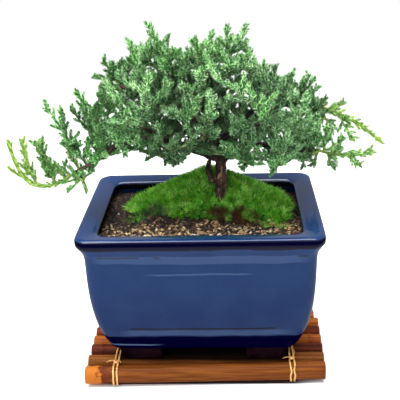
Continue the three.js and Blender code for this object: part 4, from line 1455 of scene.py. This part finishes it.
def makePole(number, plan):
    draw = random.Random(plan["seed"] + number)
    low, high = boxOf("bamboo_pole_%d" % number)
    forward = plan["turned"].get(number, 0)
    low.y += forward
    size = high - low
    middle = (low + high) / 2
    deeper, higher = plan["spare"]
    pole = block((size.x, size.y / deeper, size.z / higher), middle)
    for vertex in pole.data.vertices:
        vertex.co.z += low.z - (middle.z - size.z / higher / 2)
    top = low.z + size.z / higher
    node = low.x + plan["nodeFromEnd"] if number % 2 else high.x - plan["nodeFromEnd"]
    places = [low.x + size.x * (k + draw.uniform(-0.2, 0.2)) / 12 for k in range(1, plan["stretches"])]
    rounding, segments = plan["round"]
    with editing():
        bpy.ops.mesh.select_mode(type="EDGE")
        bpy.ops.mesh.select_all(action="DESELECT")
        bpy.ops.object.mode_set(mode="OBJECT")
        for edge in pole.data.edges:
            a, b = (pole.data.vertices[i].co for i in edge.vertices)
            edge.select = a.z > top - 0.1 and b.z > top - 0.1 and abs(a.y - b.y) < 0.1
        bpy.ops.object.mode_set(mode="EDIT")
        bpy.ops.mesh.bevel(offset=rounding, segments=segments, profile=0.5)
        for x in sorted([node + ring for ring in plan["nodeRings"]] + places):
            cut((x, 0, 0), (1, 0, 0))
    swells = [(x, draw.uniform(-1, 1) * plan["waver"], draw.uniform(-1, 0.2) * plan["waver"]) for x in places]
    for vertex in pole.data.vertices:
        away = abs(vertex.co.x - node)
        if away < 0.9:
            swell = plan["node"] if away < 0.2 else 1 + (plan["node"] - 1) * 0.5
            vertex.co.y = middle.y + (vertex.co.y - middle.y) * swell
            if vertex.co.z > low.z + 2:
                vertex.co.z = low.z + (vertex.co.z - low.z) * swell
        for x, sideways, up in swells:
            if abs(vertex.co.x - x) < 0.05:
                vertex.co.y += sideways
                if vertex.co.z > low.z + 3:
                    vertex.co.z += up
    thickness, slope, depth = plan["endHollow"]
    with editing():
        selectFaces(pole, lambda centre, normal: abs(normal.x) > 0.9)
        bpy.ops.mesh.inset(thickness=thickness, depth=0)
        bpy.ops.mesh.inset(thickness=slope, depth=-depth)
    bevelled(pole, *plan["edges"])
    for vertex in pole.data.vertices:
        vertex.co.y -= forward * (high.x - vertex.co.x) / size.x
    return pole


def makeBatten(name, plan):  # a split cane under the poles, its flat side up
    low, high = boxOf(name)
    front, behind = plan["spare"]
    low.y += front
    high.y += behind
    batten = block(high - low, (low + high) / 2)
    with editing():
        for share in range(1, plan["cuts"]):
            cut((0, low.y + (high.y - low.y) * share / plan["cuts"], 0), (0, 1, 0))
        selectFaces(batten, lambda centre, normal: normal.z < -0.9)
        bpy.ops.transform.resize(value=(plan["narrow"], 1, 1))
    bevelled(batten, *plan["edges"])
    return batten


def bambooMaterial(name, number, light, dark, scar, plan):
    material, tree, shader, place = newMaterial(name, Specular_IOR_Level=0.08)
    shifted = mapped(tree, place, (number * 0.37, number * 0.11, 0))
    streak = noise(tree, shifted, 900.0, 5.0, (0.03, 1, 1))
    body = mixed(tree, between(tree, streak, 0.35, 0.68), rgb(*dark), rgb(*light))
    blotch = between(tree, noise(tree, shifted, 60.0, 3.0, (0.5, 1, 1)), 0.52, 0.7, 0.0, 0.5)
    body = mixed(tree, blotch, body, rgb(96, 38, 18))
    x = axesOf(tree, place)[0]
    if scar:
        away = plus(tree, x, wander(tree, place, 210.0, 4.0, 0.022))
        for edge, soft, share, colour in scar:
            mark = between(tree, away, edge * mm, (edge + soft) * mm, share, 0.0)
            body = mixed(tree, mark, body, rgb(*colour))
    low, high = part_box("bamboo_pole_%d" % number)
    out = maths(tree, "ABSOLUTE", minus(tree, x, (low.x + high.x) / 2))
    half = (high.x - low.x) / 2
    ends = between(tree, out, half - 0.0004, half - 0.0001, 0.0, 0.8)
    body = mixed(tree, ends, body, rgb(84, 50, 28))
    across, back = axesOf(tree, vectors(tree, "ABSOLUTE", place))[:2]
    # painted shade: the bamboo darkens, and its sheen dulls, under the pot
    shadeX, shadeY = plan["damp"]
    damp = between(tree, across, *shadeX, 0.96, 0.0)
    damp = times(tree, damp, between(tree, back, *shadeY, 1.0, 0.0))
    body = mixed(tree, damp, body, rgb(3, 1, 1))
    tree.links.new(plus(tree, 0.5, times(tree, damp, 0.5)), shader.inputs["Roughness"])
    tree.links.new(body, shader.inputs["Base Color"])
    bump = addNode(tree, "ShaderNodeBump", {"Strength": 0.35, "Distance": 0.0003, "Height": streak})
    tree.links.new(bump.outputs[0], shader.inputs["Normal"])
    return material


for number, colours in enumerate(raftPlan["colours"], start=1):
    scar = raftPlan["scar"] if number == 1 else None
    cane = bambooMaterial("bamboo%d" % number, number, *colours, scar, raftPlan)
    finishPiece(makePole(number, raftPlan), cane, "pole_%d" % number, "bamboo", "bamboo_pole_%d" % number)
for number, name in ((8, "batten_left"), (9, "batten_right")):
    cane = bambooMaterial(name, number, *battenPlan["colours"], None, raftPlan)
    finishPiece(makeBatten(name, battenPlan), cane, "cross_" + name, "bamboo", name)
print("bamboo")


# The raffia that lashes the raft.
raffiaPlan = {
    "side": 58.0,
    "strands": (-1.2, 1.2),
    "fibre": 0.33,
    "twist": 0.17,  # turns of a strand's fibres for each millimetre
    "gap": 1.6,  # from point to point along a strand
    "section": [(0.97, None), (1.0, 0.22), (0.93, 0.55), (0.68, 0.86), (0.3, 1.0)],  # round an outer pole
    "poleHalf": (4.8, 9.5),
    "pitch": 10.8,
    "forward": {-1: 3.7, 1: 0.5},  # of the front pole where the lashing crosses it
    "low": 2.9,
    "under": 3.5,  # height of the poles' undersides
    "lift": 0.62,
    "sway": {-1: 0.2, 1: 1},  # how uneven the strands lie over the front pole
    "knotForward": {-1: 2.4, 1: 1.2},
    "rings": ((0.5, 1.25), (-0.6, 1.1)),  # of the knot: tilt and size
    "tails": {
        -1: [[(0, 0, 0.6), (-2.4, 1.0, 1.2), (-4.6, 0.6, 0.9), (-6.4, -0.2, 0.4)],
             [(0, 0, 0.6), (1.2, 1.0, 1.6), (2.4, 0.4, 1.2), (3.2, -1.0, 0.3)]],
        1: [[(0, 0, 0.6), (-2.4, 0.6, 0.8), (-4.6, -0.2, 0.9), (-6.2, -0.6, 0.6)],
            [(0, 0, 0.6), (1.4, 2.2, 2.0), (1.8, 4.6, 3.2), (-0.4, 7.2, 3.2)]],
    },
    "tail": 0.36,  # its radius at the knot
}


def strandPath(plan, side):  # y and z round the raft
    half, height = plan["poleHalf"]
    pitch, lift = plan["pitch"], plan["lift"]
    reach = 4 * pitch
    path = []
    for share, up in plan["section"]:
        z = plan["low"] if up is None else plan["under"] + up * height + lift * up
        path.append((-(reach + half * share + lift + plan["forward"][side]), z))
    top = plan["under"] + height + lift
    for k in range(-4, 5):
        if -4 < k < 4:
            path += [(k * pitch - half * 0.25, top), (k * pitch + half * 0.25, top)]
        if k < 4:
            path.append(((k + 0.5) * pitch, top - 0.35))
    path += [(-y - plan["forward"][side], z) for y, z in path[:5]][::-1]
    return path


def evenly(points, gap):  # places at an even spacing along straight stretches
    out = [points[0]]
    for a, b in zip(points, points[1:]):
        count = max(1, round((b - a).length / gap))
        out += [a.lerp(b, (i + 1) / count) for i in range(count)]
    return out


def twisted(points, plan, fibres=3, spread=0.42, flat=0.6):  # a strand of fibres laid round a line
    made = []
    for fibre in range(fibres):
        places = []
        run = 0.0
        for i, place in enumerate(points):
            before, after = points[max(i - 1, 0)], points[min(i + 1, len(points) - 1)]
            way = (after - before).normalized()
            run += (place - before).length if i else 0
            side = Vector((1, 0, 0)) - way * way.x
            side = side.normalized() if side.length > 0.2 else Vector((0, 1, 0))
            other = way.cross(side)
            angle = fullTurn * (fibre / fibres + plan["twist"] * run)
            places.append(place + side * math.cos(angle) * spread + other * math.sin(angle) * spread * flat)
        made.append(tube(places, [plan["fibre"] * (0.9 + 0.1 * math.sin(3 * k)) for k in range(len(places))]))
    return made


def makeLashing(side, plan):
    parts = []
    path = strandPath(plan, side)
    for index, strand in enumerate(plan["strands"]):
        x = side * plan["side"] + strand
        loop = [Vector((x, y, z)) for y, z in path + path[:1]]
        loop = evenly(loop, plan["gap"])
        for place in loop:
            if place.y < -40 and place.z > 4.5:
                place.x += 0.4 * math.sin(place.z * 0.8 + index * 2.4) * plan["sway"][side]
        parts += twisted(loop, plan)
    front = -3.5 * plan["pitch"] - 0.75 * plan["forward"][side] - plan["knotForward"][side]
    knot = Vector((side * plan["side"], front, plan["under"] + plan["poleHalf"][1] + plan["lift"] + 0.1))
    for tilt, size in plan["rings"]:
        ring = [
            knot + Vector((math.cos(a) * size * 1.15, math.sin(a) * size * 0.8, 0.5 + tilt * math.cos(a) * 0.8))
            for a in (fullTurn * k / 12 for k in range(13))
        ]
        parts += twisted(ring, plan, 2, 0.25)
    for tail in plan["tails"][side]:
        points = [knot + Vector(p) for p in tail]
        radii = [plan["tail"] - 0.02 * i for i in range(10)]
        parts.append(tube([limbAt(points, i / 9) for i in range(10)], radii))
    return joined(parts)


def raffiaMaterial():
    material, tree, shader, place = newMaterial("raffia", Roughness=0.55)
    colour = mottled(tree, place, 300.0, 1600.0, 0.45, (186, 122, 52), (232, 184, 116))
    tree.links.new(colour, shader.inputs["Base Color"])
    relieved(tree, shader, place, 1500.0, 0.4, 0.0002)
    return material


raffia = raffiaMaterial()
for name, side in (("left", -1), ("right", 1)):
    finishPiece(makeLashing(side, raffiaPlan), raffia, "lashing_" + name, "raffia", "raffia_" + name, angle=60)
print("raffia")
